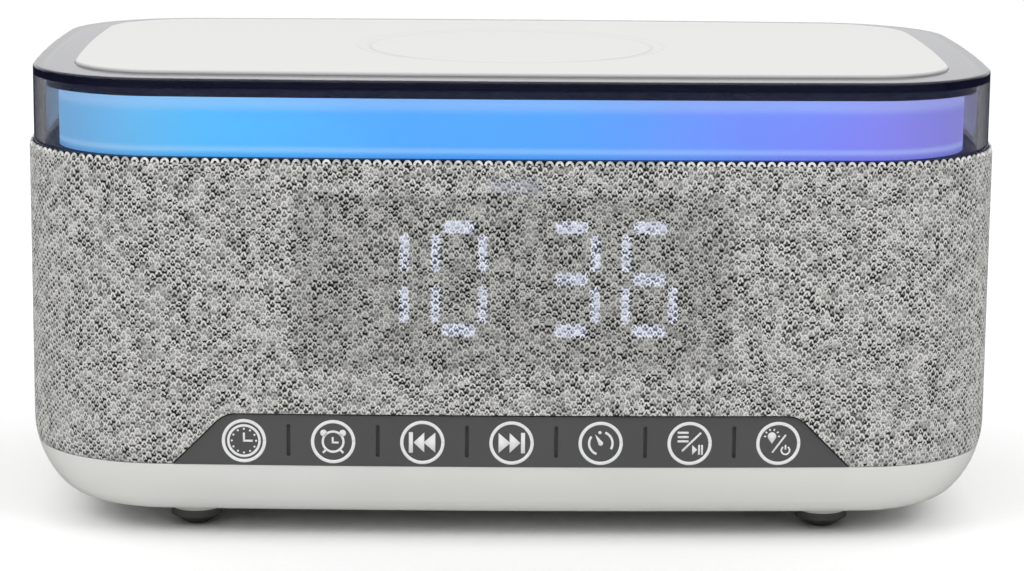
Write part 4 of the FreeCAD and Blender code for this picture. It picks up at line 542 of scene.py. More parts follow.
def plate_plastic(name):
    """The plate's fine satin grain, with two faint lines of painted shade round the dish, at the creases of
    its slope, by distance from its middle.
    The painted shade is stronger and wider in front, where the dish's slope is seen edge-on."""
    colour = chosen("finish").plate
    f = finish_nodes(name)
    x, y, _ = f.axes(f.here)
    distance = f.from_axis(x, y)
    grain = f.noise(f.here, 2800.0, 3.0, 0.6)
    tone = f.blend(grain, 0.35, 0.65, darker(colour, 0.985), colour)
    near = f.ramp(y, -20.0 * MM, 10.0 * MM, 1.0, 0.2)
    wide = f.ramp(y, -26.0 * MM, -12.0 * MM, 1.9, 1.0)
    # Painted shade at the dish's two creases: radius and strength of each line.
    outer_crease_shade, inner_crease_shade = (29.7, 0.15), (27.2, 0.4)
    for radius, strength in (outer_crease_shade, inner_crease_shade):
        away = f.calc("DIVIDE", f.off(distance, radius * MM), wide)
        crease_shade = f.product(f.ramp(away, 0.1 * MM, 0.6 * MM, strength, 0.0), near)
        tone = f.mix(crease_shade, tone, darker(colour, 0.35))
    return f.done(Base_Color=tone, Roughness=0.42, Normal=f.bump(grain, 0.006 * MM, 0.6))


def coil_wire(name):
    """Enamelled wire wound flat: painted shade in the grooves between turns and a lighter painted top on each
    turn, by distance from the coil's middle.
    """
    wire_pitch = 0.9 * MM
    f = finish_nodes(name)
    x, y, _ = f.axes(f.here)
    turn = f.calc("FRACT", f.calc("DIVIDE", f.from_axis(x, y), wire_pitch))
    round_back = f.calc("SINE", f.product(turn, math.pi))
    strands = f.noise(f.here, 3500.0)
    # Painted shade and light across each round turn of wire.
    shade = f.blend(round_back, 0.0, 0.5, linear(70, 34, 16), linear(198, 118, 62))
    return f.done(
        Base_Color=f.blend(strands, 0.4, 0.7, shade, linear(150, 84, 40), most=0.4),
        Metallic=0.8,
        Roughness=0.32,
        Normal=f.bump(round_back, 0.3 * MM),
    )


def ribbon_film(name):
    """A flat ribbon: ten wires side by side under clear film, with painted shade between the wires and
    lighter painted tops on them.
    """
    wire_pitch = 1.0 * MM
    f = finish_nodes(name)
    x, _, _ = f.axes(f.here)
    wire = f.calc("SINE", f.product(x, 2 * math.pi / wire_pitch))
    film = f.noise(f.here, 800.0)
    # Painted shade between the rounded wires, lighter on their tops.
    shade = f.blend(wire, -0.2, 0.4, linear(150, 150, 150), linear(214, 214, 216))
    return f.done(
        Base_Color=f.blend(film, 0.3, 0.7, shade, linear(120, 120, 122), most=0.2),
        Roughness=0.4,
        Normal=f.bump(wire, 0.1 * MM, 0.6),
    )


def ink(name):
    """Screen-printed ink: opaque and slightly uneven at the mesh of the screen."""
    colour = chosen("finish").print
    f = finish_nodes(name)
    wear = f.noise(f.here, 700.0, 3.0)
    return f.done(
        Base_Color=f.blend(wear, 0.3, 0.75, colour, darker(colour, 0.95)),
        Roughness=0.8,
        Specular_IOR_Level=0.2,
        Normal=f.bump(f.noise(f.here, 9000.0), 0.005 * MM, 0.3),
    )


def edge_yarn(name):
    """Yarn of the top edge: tone by loop, twist in relief."""
    knit = chosen("knit")
    f = finish_nodes(name)
    lot = f.noise(f.here, 420.0)
    twist = f.noise(f.moved(f.here, (1.0, 1.0, 0.4)), 4000.0, 3.0)
    thread = f.blend(lot, 0.38, 0.6, knit.dark_yarn, knit.light_yarn)
    return f.done(
        Base_Color=f.blend(twist, 0.3, 0.7, thread, darker(knit.dark_yarn, 0.7), most=0.4),
        Roughness=0.9,
        Normal=f.bump(twist, 0.1 * MM, 0.7),
        Sheen_Weight=0.15,
    )


# The knit, counted in columns and rows

def stitch_row(f, u, v, shift):
    """One of the two lattices of stitches. A stitch is an arch over legs that spread downwards:
    its yarn fades with the distance from the arch's middle line into the painted shade of the gaps, and a
    thinner thread runs up its middle.
    Also gives the stitch's own three random numbers."""
    scatter_across, scatter_up = 0.26, 0.2
    wide, tall, middle_height = 0.9, 1.36, 0.72
    arch_radius, leg_spread = 0.27, 0.36
    yarn_fade, thread_fade, leg_fade = (0.06, 0.3), (0.04, 0.2), (-0.34, -0.12)
    column = f.calc("FLOOR", f.calc("DIVIDE", f.calc("ADD", u, shift), 2.0))
    lifted = f.calc("ADD", v, shift * 0.5)
    row = f.calc("FLOOR", lifted)
    number = f.made("CombineXYZ", {0: column, 1: row, 2: shift})
    lots = f.node("TexWhiteNoise", {"Vector": number}, noise_dimensions="3D").outputs["Color"]
    aside, lift, fill = f.axes(lots)
    across = f.calc("MULTIPLY_ADD", column, -2.0, f.calc("ADD", u, shift - 1.0))
    x = f.calc("MULTIPLY_ADD", f.less(aside, 0.5), scatter_across, f.product(across, wide))
    up = f.less(lifted, row)
    above = f.calc("MULTIPLY_ADD", up, tall, f.calc("MULTIPLY_ADD", lift, scatter_up, -middle_height))
    rise = f.calc("MAXIMUM", above, 0.0)
    fall = f.calc("MAXIMUM", f.product(above, -1.0), 0.0)
    middle = f.calc("MULTIPLY_ADD", fall, leg_spread, arch_radius)
    away = f.off(f.from_axis(x, rise), middle)
    yarn = f.product(f.ramp(away, *yarn_fade, 1.0, 0.0), f.ramp(up, 0.0, 0.22))
    thread = f.product(f.ramp(f.off(x, 0.0), *thread_fade, 1.0, 0.0), f.ramp(fill, 0.1, 0.9, 0.35, 1.0))
    thread = f.product(thread, f.ramp(above, *leg_fade, 1.0, 0.0))
    return f.largest(yarn, thread), lots


def wandering(f, cells):
    """Columns and rows that wander slowly, by up to the reach, in stitches."""
    reach = 0.9
    u, v, _ = f.axes(cells)
    elsewhere = f.moved(cells, shift=(40.0, 9.0, 0.0))
    drifts = [f.noise(some, 0.09, 3.0) for some in (cells, elsewhere)]
    aside, along = (f.ramp(drift, 0.2, 0.8, -reach, reach, soft=False) for drift in drifts)
    return f.calc("ADD", u, aside), f.calc("ADD", v, along)


def front_patch(f, level, half_width, half_height, soft_across, soft_up):
    """1 in an upright rectangle on the front, falling to 0 over its soft edges. Sizes in millimetres."""
    x, y, z = f.axes(f.here)
    across = f.ramp(f.off(x, 0.0), (half_width - soft_across) * MM, (half_width + soft_across) * MM, 1.0, 0.0)
    up = f.ramp(f.off(z, level * MM), (half_height - soft_up) * MM, (half_height + soft_up) * MM, 1.0, 0.0)
    return f.product(across, up, f.ramp(y, -30.0 * MM, -20.0 * MM, 1.0, 0.0))


def knitted(name):
    """Marled knit: two lattices of arched stitches, one column and half a row apart, the nearer yarn on
    top, with painted shade in the gaps between them. Each stitch has its own tone and its own openness, and
    loose streaks run along the rows. It is darker over the display's window by painted shade, carries a
    painted dim glow over the digits, and glows where the digits behind it are lit, which is painted light.
    The top of its upper hem is coloured like the tray, as painted shade behind the edge loops."""
    knit = chosen("knit")
    glow = chosen("glow")
    f = finish_nodes(name)
    window_shade, patch_glow_share, painted_digit_glow_share = 0.22, 0.15, 0.42
    cells = f.attribute("knit")["Vector"]
    u, v = wandering(f, cells)
    first, first_lots = stitch_row(f, u, v, 0.0)
    second, second_lots = stitch_row(f, u, v, 1.0)
    yarn = f.largest(first, second)
    lot, openness, _ = f.axes(f.mix(f.calc("GREATER_THAN", second, first), first_lots, second_lots))
    streaks = f.noise(f.moved(cells, (0.16, 0.8, 1.0)), 1.0, 3.0, 0.7)
    marl = f.calc("MULTIPLY_ADD", f.less(lot, 0.5), 0.34, streaks)
    fibres = f.noise(cells, 6.0, 3.0, 0.85)
    thread = f.blend(marl, 0.18, 0.62, knit.dark_yarn, knit.light_yarn)
    thread = f.blend(fibres, 0.38, 0.64, thread, darker(knit.dark_yarn, 0.5), most=0.85)
    # Painted shade: the knit and its gaps are darker over the display's window, where little light comes from
    # behind.
    window = front_patch(f, level=49.2, half_width=39.5, half_height=16.0, soft_across=1.0, soft_up=0.8)
    gap = f.mix(window, knit.gap, darker(knit.gap, 0.4))
    thread = f.mix(f.product(window, window_shade), thread, BLACK)
    opened = f.ramp(openness, 0.0, 1.0, 0.4, 1.3, soft=False)
    cover = f.less(1.0, f.product(f.less(1.0, yarn), opened))
    # Painted shade: where the yarn is thin or the stitch is open, the gaps' dark colour shows.
    face = f.mix(cover, gap, thread)
    # Painted light: a dim glow over the digits, mixed into the knit's colour.
    painted_patch_glow = front_patch(f, level=66.8, half_width=4.5, half_height=1.5, soft_across=1.0, soft_up=0.5)
    face = f.mix(f.product(painted_patch_glow, patch_glow_share), face, glow.painted_patch_glow)
    # Painted shade: above this level the upper hem takes the tray's dark colour, for the shade behind the
    # edge loops.
    painted_lip_level = SLEEVE_HIGH.z - knit.loop_rise
    height = f.axes(f.here)[2]
    face = f.blend(height, painted_lip_level + 0.05 * MM, painted_lip_level + 0.15 * MM, face, chosen("finish").tray)
    # Painted light: the knit glows where the lit digits behind it would shine through, with a ragged edge set
    # by the yarn.
    ragged = f.ramp(f.calc("MULTIPLY_ADD", cover, 0.35, f.attribute("glow")["Fac"]), 0.45, 0.95)
    painted_digit_glow = f.product(ragged, f.ramp(cover, 0.0, 0.7, 0.4, 1.0))
    return f.done(
        Base_Color=face,
        Roughness=0.92,
        Specular_IOR_Level=0.2,
        Normal=f.bump(f.calc("MULTIPLY_ADD", fibres, 0.25, yarn), 0.22 * MM, 0.7),
        Sheen_Weight=0.15,
        Emission_Color=f.mix(painted_digit_glow, BLACK, darker(glow.digits, painted_digit_glow_share)),
        Emission_Strength=1.0,
    )


# The knitted sleeve

def notch_height(x):
    """Height of the sleeve's lower edge over the key strip: a slope of 45 degrees, an arc and a flat top."""
    gap = 0.25 * MM
    corner_radius = 5.0 * MM
    low = STRIP_LOW.z
    half = (STRIP_HIGH.x - STRIP_LOW.x) / 2 + gap * math.sqrt(2)
    top = STRIP_HIGH.z + gap
    radius = corner_radius + gap
    slope = low + half - np.abs(x)
    arc_middle = half - (top - low) - radius * math.tan(math.radians(22.5))
    across = (np.abs(x) - arc_middle).clip(0.0, radius)
    arc = top - radius + np.sqrt(radius ** 2 - across ** 2)
    on_arc = np.abs(x) < arc_middle + radius * math.sin(math.radians(45.0))
    return np.maximum(np.where(on_arc, np.minimum(arc, top), slope), SLEEVE_LOW.z)


def lit_segments():
    """Rows of x, height, half width, half height and brightness for each lit bar of the digits 1, 0, 3
    and 6, in metres: upright bars by x and lying bars by the middle of their digit."""
    top, middle, low = 59.4, 50.0, 40.6
    upper, lower = (top + middle) / 2, (middle + low) / 2
    upright, lying = (0.88, 3.45, 0.74), (2.9, 1.1, 1.0)
    aside = 0.2
    bars = [(x, height, *upright) for x in (-19.7, -14.1, -5.7, 14.5, 20.0) for height in (upper, lower)]
    bars.append((28.5, lower, *upright))
    bars += [(-9.9, height, *lying) for height in (top, low)]
    bars += [(x, height, *lying) for x in (10.25, 24.25) for height in (top, middle, low)]
    return (np.array(bars) + (aside, 0.0, 0.0, 0.0, 0.0)) * (MM, MM, MM, MM, 1.0)


def glow_at(points):
    """How brightly each point is lit: 1 inside a bar, falling to 0 past its round-cornered edge."""
    bars = lit_segments()
    soft = 0.7 * MM
    across = np.abs(points[:, None, 0] - bars[None, :, 0]) - bars[None, :, 2] + soft
    up = np.abs(points[:, None, 2] - bars[None, :, 1]) - bars[None, :, 3] + soft
    outside = np.hypot(np.maximum(across, 0.0), np.maximum(up, 0.0)) - soft
    lit = (0.5 - outside / soft).clip(0.0, 1.0) * bars[None, :, 4]
    return np.where(points[:, 1] < 0.0, lit.max(axis=1), 0.0)


def sleeve_columns():
    """Distances along the outline: fine over the display and the panel, wider elsewhere."""
    display_reach, display_step, panel_reach = 63.0, 0.45, 20.0 * MM
    between, over_panel = 75, 68
    total = Stations([0.0]).total
    front = np.arange(-display_reach, display_reach + 0.01, display_step) * MM
    to_back = np.linspace(front[-1], total / 2 - panel_reach, between)[1:]
    back = np.linspace(total / 2 - panel_reach, total / 2 + panel_reach, over_panel)[1:]
    home = np.linspace(back[-1], total + front[0], between)[1:-1]
    return np.concatenate([front, to_back, back, home])


def panel_hole(x):
    """Half the height of the round-ended opening over the back panel at an x."""
    gap = 0.15 * MM
    radius = (PANEL_HIGH.z - PANEL_LOW.z) / 2 + gap
    straight = (PANEL_HIGH.x - PANEL_LOW.x) / 2 + gap - radius
    past = (np.abs(x) - straight).clip(0.0, None)
    return np.sqrt(np.maximum(radius ** 2 - past ** 2, 0.0))


def hem(stations, level, profile):
    """Rings of a hem's section, from rows of share of the thickness inwards and millimetres over a level."""
    thick = chosen("knit").thickness
    rings = [stations.ring(inset_at(level) + thick * share, level + rise * MM) for share, rise in profile]
    return np.stack(rings)


def build_sleeve():
    """The skin is a grid round the outline: each column runs from its lower edge up to the top, with a hem
    at both ends. The upper hem has a lip that stands behind the loops, coloured dark as painted shade. At the
    back one row parts round the panel's opening, whose edge is turned in. Rows go by shares of the height,
    finest over the digits."""
    knit = chosen("knit")
    low_hem = ((1.0, 1.6), (1.0, 0.12), (0.6, 0.0), (0.2, 0.0), (0.0, 0.12))
    high_hem = ((0.0, -0.2), (0.12, 0.0), (0.78, 0.0), (0.8, 0.75), (0.96, 0.8), (1.0, -3.0))
    stations = Stations(sleeve_columns())
    x = stations.ring(0.0, 0.0)[:, 0]
    behind, ahead = stations.out[:, 1] > 0.5, stations.out[:, 1] < -0.5
    top = SLEEVE_HIGH.z - knit.loop_rise
    low = np.where(ahead, notch_height(x), SLEEVE_LOW.z)
    split = ((PANEL_LOW.z + PANEL_HIGH.z) / 2 - SLEEVE_LOW.z) / (top - SLEEVE_LOW.z)
    hole = np.where(behind, panel_hole(x), 0.0)
    rows_under, rows_below, rows_above = 8, 6, 9
    digits_low, digits_high, first_step, digit_step = 0.25, 0.84, 0.01, 0.0098
    under = np.linspace(0.0, 1.0, rows_under)[1:]
    fine = np.arange(digits_low + first_step, digits_high, digit_step)
    over = [np.linspace(split, digits_low, rows_below), fine, np.linspace(digits_high, 1.0, rows_above)]
    over = (np.concatenate(over)[:-1] - split) / (1.0 - split)
    start = low + split * (top - low)
    lower = low + under[:, None] * (start - hole - low)
    upper = start + hole + over[:, None] * (top - start - hole)
    skin_low, skin_high = (np.stack([stations.ring(inset_at(h), h) for h in rows]) for rows in (lower, upper))
    lower_grid = np.concatenate([hem(stations, low, low_hem), skin_low])
    upper_grid = np.concatenate([skin_high, hem(stations, top, high_hem)])
    grids = (lower_grid, upper_grid)
    parts = [(grid.reshape(-1, 3), grid_faces(len(grid), len(x), closed=True)) for grid in grids]
    at = np.flatnonzero(hole > 0.0)
    at = np.concatenate([[at[0] - 1], at, [at[-1] + 1]])
    for edge, turned in ((lower_grid[-1, at], False), (upper_grid[0, at], True)):
        turn = stations.ring(knit.thickness, 0.0)[at]
        turn[:, 2] = edge[:, 2]
        pair = np.stack([turn, edge] if turned else [edge, turn])
        parts.append((pair.reshape(-1, 3), grid_faces(2, len(at))))
    piece = new_piece("knit_skin", parts, knitted("marled_knit"), "housing", ("knit_sleeve",), 50.0)
    mend_seams(piece)
    write_stitches(piece)


def write_stitches(piece):
    """Writes each point's place in the knit, counted in columns and rows, and how brightly it is lit.
    A point's distance along the outline is that of the nearest sample, plus what is left over along it."""
    samples, batch = 2400, 4000
    knit = chosen("knit")
    mesh = piece.data
    points = np.empty(len(mesh.vertices) * 3)
    mesh.vertices.foreach_get("co", points)
    points = points.reshape(-1, 3)
    dense = Stations(np.linspace(0.0, Stations([0.0]).total, samples, endpoint=False))
    ring = dense.ring(0.0, 0.0)[:, :2]
    along = np.empty(len(points))
    for first in range(0, len(points), batch):
        some = points[first:first + batch, :2]
        choice = ((some[:, None] - ring[None]) ** 2).sum(axis=2).argmin(axis=1)
        tangent = np.stack([-dense.out[choice, 1], dense.out[choice, 0]], axis=1)
        along[first:first + batch] = dense.along[choice] + ((some - ring[choice]) * tangent).sum(axis=1)
    half = dense.total / 2
    along = np.mod(along + half, dense.total) - half
    cells = np.column_stack([along / knit.column_pitch, points[:, 2] / knit.row_pitch, np.zeros(len(points))])
    stitches = mesh.attributes.new("knit", "FLOAT_VECTOR", "POINT")
    stitches.data.foreach_set("vector", cells.astype(np.float32).ravel())
    glow = mesh.attributes.new("glow", "FLOAT", "POINT")
    glow.data.foreach_set("value", glow_at(points).astype(np.float32))


def build_edge_loops():
    """A row of arches along the top edge: a round yarn carried over a half oval, once every pitch."""
    knit = chosen("knit")
    half_width_share, squareness, depth_share, stand = 0.33, 0.7, 0.45, 0.2 * MM
    total = Stations([0.0]).total
    count = int(round(total / knit.loop_pitch))
    middles = (np.arange(count) + 0.5) * total / count
    arch_points, yarn_sides = 9, 5
    turn = np.linspace(0.0, math.pi, arch_points)
    around = np.linspace(0.0, 2 * math.pi, yarn_sides, endpoint=False)
    wide, tall = half_width_share * knit.loop_pitch, knit.loop_height
    path = np.stack([-wide * np.cos(turn), tall * np.sin(turn) ** squareness], axis=1)
    ahead = np.stack([wide * np.sin(turn), tall * np.cos(turn)], axis=1)
    ahead /= np.linalg.norm(ahead, axis=1)[:, None]
    normal = np.stack([-ahead[:, 1], ahead[:, 0]], axis=1)
    ring = path[:, None, :] + normal[:, None, :] * (np.cos(around) * knit.yarn_radius)[None, :, None]
    shape = (count, len(turn), len(around))
    stations = Stations((middles[:, None, None] + ring[None, :, :, 0]).ravel())
    height = np.broadcast_to(ring[None, :, :, 1], shape).ravel()
    inset = np.broadcast_to(np.sin(around) * knit.yarn_radius, shape).ravel()
    base = SLEEVE_HIGH.z - tall + stand
    points = stations.ring(knit.thickness * depth_share + inset, base + height)
    one = grid_faces(len(turn), len(around), closed=True)
    first = np.arange(count)[:, None, None] * (len(turn) * len(around))
    faces = (one[None] + first).reshape(-1, 4)[:, ::-1]
    new_piece("knit_edge", [(points, faces)], edge_yarn("edge_yarn"), "housing", sharp=80.0)


# Flat marks, in millimetres on their own plane

def disc(x, z, radius, steps=20):
    """A round spot: a middle point and a ring of points, joined as a fan."""
    rim = (x, z) + radius * turns(steps)
    ring = np.arange(steps)
    faces = np.stack([np.zeros(steps, int), ring + 1, (ring + 1) % steps + 1], axis=1)
    return np.concatenate([[(x, z)], rim]), faces


def band(x, z, outer, width, first=0.0, last=360.0, steps=64):
    """Part of a ring: radius from outer - width to outer, angle from first to last."""
    turn = np.radians(np.linspace(first, last, steps + 1))
    out = np.stack([np.cos(turn), np.sin(turn)], axis=1)
    return np.concatenate([(x, z) + out * outer, (x, z) + out * (outer - width)]), grid_faces(2, steps + 1)


def line(start, end, width):
    """A straight stroke: a long box, half the width to each side."""
    start, end = np.array(start, float), np.array(end, float)
    ahead = (end - start) / np.linalg.norm(end - start)
    side = np.array((-ahead[1], ahead[0])) * width / 2
    return polygon([start - side, end - side, end + side, start + side])


def polygon(points):
    """A convex patch of three or four corners."""
    return np.asarray(points, float), np.array([np.arange(len(points))])


def clock_dial():
    """A ring, twelve dots and two hands."""
    hours = np.radians(np.arange(12) * 30.0)
    dots = [disc(2.2 * math.sin(angle), 2.2 * math.cos(angle), 0.19, 12) for angle in hours]
    hands = [line((0.0, 1.5), (0.0, -0.19), 0.38), line((-0.19, 0.0), (1.6, 0.0), 0.38)]
    return [band(0, 0, 3.06, 0.46), *dots, *hands]


def alarm_dial():
    """A ring with two bells, two hands and two legs."""
    bells = [disc(side * 1.72, 1.6, 0.62) for side in (-1, 1)]
    hands = [line((-0.08, 0.85), (-0.08, -0.34), 0.36), line((-0.26, -0.16), (1.0, -0.16), 0.36)]
    legs = [line((side * 1.25, -1.45), (side * 1.85, -2.1), 0.4) for side in (-1, 1)]
    return [band(0, 0, 2.08, 0.42), *bells, *hands, *legs]


def skip_dial(way):
    """A bar and two triangles: way 1 points to the left, way -1 to the right."""
    bar = polygon([(-2.44, -1.9), (-1.7, -1.9), (-1.7, 1.9), (-2.44, 1.9)])
    arrows = [polygon([(tip, 0.0), (back, -1.85), (back, 1.85)]) for tip, back in ((-1.6, 0.35), (0.2, 2.35))]
    return [(points * (way, 1.0), faces[:, ::way]) for points, faces in (bar, *arrows)]


def timer_dial():
    """Two arcs of a ring, a hand with its hub, and a dot."""
    arcs = [band(0, 0, 2.36, 0.42, -30.0, 68.0, 24), band(0, 0, 2.31, 0.42, 143.0, 250.0, 24)]
    hand = polygon([(-1.03, 1.7), (-0.38, -0.2), (0.38, 0.22)])
    return [*arcs, disc(0.0, 0.0, 0.45), disc(-0.15, 2.0, 0.3, 12), hand]


def mode_dial():
    """Three bars, a slash, and a play triangle with two pause bars."""
    bars = [line((-2.2, z), (-0.2, z), 0.4) for z in (0.4, 1.2, 2.0)]
    play = polygon([(0.48, -2.1), (1.4, -1.18), (0.48, -0.26)])
    low, high, wide = -2.1, -0.26, 0.34
    pause = [polygon([(x, low), (x + wide, low), (x + wide, high), (x, high)]) for x in (1.56, 2.1)]
    return [*bars, line((-1.36, -1.42), (2.06, 2.0), 0.36), play, *pause]


def light_dial():
    """A lamp bulb with six rays, a slash and a power sign."""
    middle = np.array((-1.18, 1.3))
    bulb = [disc(*middle, 0.78), polygon([(-1.9, 1.0), (-1.18, -0.05), (-0.46, 1.0)])]
    for angle in np.radians(np.arange(0.0, 181.0, 36.0)):
        way = np.array((math.cos(angle), math.sin(angle)))
        bulb.append(line(middle + way * 1.08, middle + way * 1.46, 0.26))
    power = [band(1.33, -1.3, 0.9, 0.3, 125.0, 415.0, 30), line((1.33, -1.15), (1.33, -0.3), 0.3)]
    return [*bulb, line((-1.09, -1.73), (1.33, 1.58), 0.33), *power]


def dials():
    """The seven icons as lists of flat parts about each key's middle."""
    icons = (clock_dial(), alarm_dial(), skip_dial(1), skip_dial(-1), timer_dial(), mode_dial(), light_dial())
    return dict(zip(KEY_NAMES, icons))


def on_strip(parts, x, z):
    """Carries flat parts on to the bowed front of the strip, a little proud of it."""
    strip_inset, lift = 0.5 * MM, 0.03 * MM
    carried = []
    for points, faces in parts:
        across = x + points[:, 0] * MM
        depth = front_y(across, strip_inset - lift)
        carried.append((np.column_stack([across, depth, z + points[:, 1] * MM]), faces))
    return carried


def thicken(piece):
    """Gives printed ink its thickness, inwards from its face."""
    solid = piece.modifiers.new("thickness", "SOLIDIFY")
    solid.thickness = 0.05 * MM
    solid.offset = -1.0


def print_icons():
    """Each key carries its icon. The rings stay on the strip, in one piece."""
    ring_radius, ring_stroke = 4.02, 0.6
    print_ink = ink("icon_ink")
    rings = []
    for name, parts in dials().items():
        low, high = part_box(f"{name}_key")
        x, z = (low.x + high.x) / 2, (low.z + high.z) / 2
        rings += on_strip([band(0, 0, ring_radius, ring_stroke)], x, z)
        icon = on_strip(parts, x, z)
        thicken(new_piece(f"{name}_icon", icon, print_ink, f"{name}_key_body"))
    thicken(new_piece("key_rings", rings, print_ink, "housing"))


def build_foot(corner, rubber):
    """A rubber foot: a profile of radius and height turned round the pad's axis. It fills the recess under
    the boss, wraps the boss in a thin skirt and narrows to the table."""
    low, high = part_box(f"foot_pad_{corner}")
    seat = (high.x - low.x) / 2 / MM
    roof = high.z / MM
    inner, outer, bulge, ground = 4.62, 4.72, 4.78, 2.15
    rim, boss_end = 3.0, 1.79
    profile = np.array((
        (0.0, 0.0), (ground - 0.25, 0.0), (ground, 0.12), (outer, 1.72), (bulge, 1.95), (outer, rim),
        ((inner + outer) / 2 - 0.01, rim + 0.05), (inner, rim), (inner, boss_end), (seat, boss_end),
        (seat, roof), (0.0, roof),
    )) * MM
    middle = np.array(((low.x + high.x) / 2, (low.y + high.y) / 2))
    flat = middle + profile[:, None, 0, None] * turns(48)[None]
    heights = np.broadcast_to(profile[:, 1, None, None], (*flat.shape[:2], 1))
    points = np.concatenate([flat, heights], axis=2).reshape(-1, 3)
    faces = grid_faces(*flat.shape[:2], closed=True)
    pad = (f"foot_pad_{corner}",)
    foot = new_piece(f"foot_{corner}", [(points, faces)], rubber, "housing", pad, 30.0)
    mend_seams(foot)


# The studio

def build_table():
    """A pale table: one flat square."""
    reach = np.array((-1.4, 1.4))
    x, y = np.meshgrid(reach, reach)
    points = np.column_stack([x.ravel(), y.ravel(), np.zeros(4)])
    mesh = bpy.data.meshes.new("table")
    mesh.from_pydata(points.tolist(), [], grid_faces(2, 2).tolist())
    table = added("table", mesh)
    f = finish_nodes("table_paper")
    grain = f.noise(f.here, 900.0, 3.0)
    shade = f.blend(grain, 0.3, 0.7, linear(251, 251, 251), linear(253, 253, 253))
    mesh.materials.append(f.done(Base_Color=shade, Roughness=0.9, Specular_IOR_Level=0.1))
    table.visible_glossy = False


def area_lamp(name, place, size, power):
    """A rectangular lamp that points at the clock. Mirrors don't show it."""
    clock_middle = (0.0, 0.0, 0.05)
    lamp = bpy.data.lights.new(name, "AREA")
    lamp.shape = "RECTANGLE"
    lamp.size, lamp.size_y = size
    lamp.energy = power
    item = added(name, lamp)
    turned = (Vector(place) - Vector(clock_middle)).to_track_quat("Z", "Y").to_matrix().to_4x4()
    item.matrix_world = Matrix.Translation(place) @ turned
    item.visible_glossy = False


def build_lamps():
    """Two wide lamps in front and one above."""
    studio = chosen("studio")
    for side, x in zip(SIDES, (-0.55, 0.55)):
        area_lamp(f"front_lamp_{side}", place=(x, -0.6, 0.7), size=(0.5, 0.4), power=studio.key_light)
    area_lamp("top_lamp", place=(0.0, 0.05, 0.9), size=(1.1, 0.9), power=studio.top_light)


def build_sky():
    """White to the camera. For the light it gives: bright above, bright low behind, dim elsewhere."""
    studio = chosen("studio")
    world = bpy.data.worlds.new("surroundings")
    bpy.context.scene.world = world
    s = Nodes(world, "OutputWorld")
    _, y, z = s.axes(s.node("TexCoord").outputs["Generated"])
    above = s.ramp(z, 0.25, 0.5, 0.0, studio.sky)
    behind = s.product(s.ramp(y, 0.3, 0.85, 0.0, studio.backdrop), s.ramp(z, -0.05, 0.05))
    level = s.largest(above, behind, s.ramp(z, -0.05, 0.05, 0.02, 0.06))
    given = s.made("Background", {"Color": WHITE, "Strength": level})
    seen = s.made("Background", {"Color": WHITE, "Strength": studio.seen})
    by_camera = s.node("LightPath").outputs["Is Camera Ray"]
    both = s.made("MixShader", {0: by_camera, 1: given, 2: seen})
    s.tree.links.new(both, s.output.inputs["Surface"])


def build_camera():
    """The camera looks along yaw and pitch and is turned by roll about its line of sight."""
    studio = chosen("studio")
    sight = bpy.data.cameras.new("camera")
    sight.sensor_width = 36.0
    sight.sensor_fit = "HORIZONTAL"
    sight.lens = studio.lens
    sight.clip_start = 0.01
    sight.clip_end = 20.0
    camera = added("camera", sight)
    yaw = Matrix.Rotation(-studio.yaw, 4, "Z")
    pitch = Matrix.Rotation(math.pi / 2 - studio.pitch, 4, "X")
    roll = Matrix.Rotation(studio.roll, 4, "Z")
    camera.matrix_world = Matrix.Translation(studio.camera) @ yaw @ pitch @ roll
    bpy.context.scene.camera = camera


# Operators

class CLOCK_OT_sleeve(bpy.types.Operator):
    """Knit the sleeve with its lit digits and its looped top edge"""

    bl_idname = "clock.sleeve"
    bl_label = "Knitted sleeve"

    def execute(self, context):
        build_sleeve()
        build_edge_loops()
        return {"FINISHED"}


class CLOCK_OT_shells(bpy.types.Operator):
    """Finish the base shell, the chassis, the back panel and the power inlet"""

    bl_idname = "clock.shells"
    bl_label = "Shells"

    def execute(self, context):
        smooth = {"roughness": 0.34, "grain": 3000.0, "depth": 0.008 * MM, "drift": 0.03}
        dress(moulded("base_plastic", chosen("finish").base, **smooth), "base_shell", "back_panel")
        dress(moulded("chassis_plastic", linear(52, 52, 56), roughness=0.6, grain=1500.0), "chassis")
        dress(metal("inlet_shell", linear(190, 190, 192), roughness=0.3), "power_inlet")
        return {"FINISHED"}


class CLOCK_OT_cover(bpy.types.Operator):
    """Smoke the cover and light the band and the tray behind it"""

    bl_idname = "clock.cover"
    bl_label = "Cover and lit band"

    def execute(self, context):
        dress(smoked("smoked_cover"), "top_cover")
        dress(lit_band("lit_band"), "light_guide")
        tray = polished(
            "tray_plastic",
            chosen("finish").tray,
            roughness=0.35,
            Specular_IOR_Level=0.1,
            Emission_Color=chosen("glow").stray_tray,
            Emission_Strength=0.3,
        )
        dress(tray, "light_carrier")
        dress(moulded("lamp_strip_film", linear(225, 225, 220), roughness=0.5, grain=800.0), "lamp_strip")
        dress(moulded("lamp_resin", linear(240, 238, 215), roughness=0.3, grain=1200.0), "lamps")
        return {"FINISHED"}


class CLOCK_OT_plate(bpy.types.Operator):
    """Finish the charging plate, the coil and the charger's board"""

    bl_idname = "clock.plate"
    bl_label = "Charging plate"

    def execute(self, context):
        dress(plate_plastic("plate_plastic"), "charging_plate")
        dress(coil_wire("coil_wire"), "charging_coil")
        rough = {"roughness": 0.75, "grain": 600.0, "depth": 0.05 * MM, "drift": 0.2}
        dress(moulded("ferrite", linear(70, 68, 66), **rough), "coil_shield")
        dress(circuit("charger_lacquer", linear(26, 74, 46)), "charger_board")
        dress(moulded("charger_resin", linear(44, 44, 46), roughness=0.4, grain=1400.0), "charger_parts")
        return {"FINISHED"}


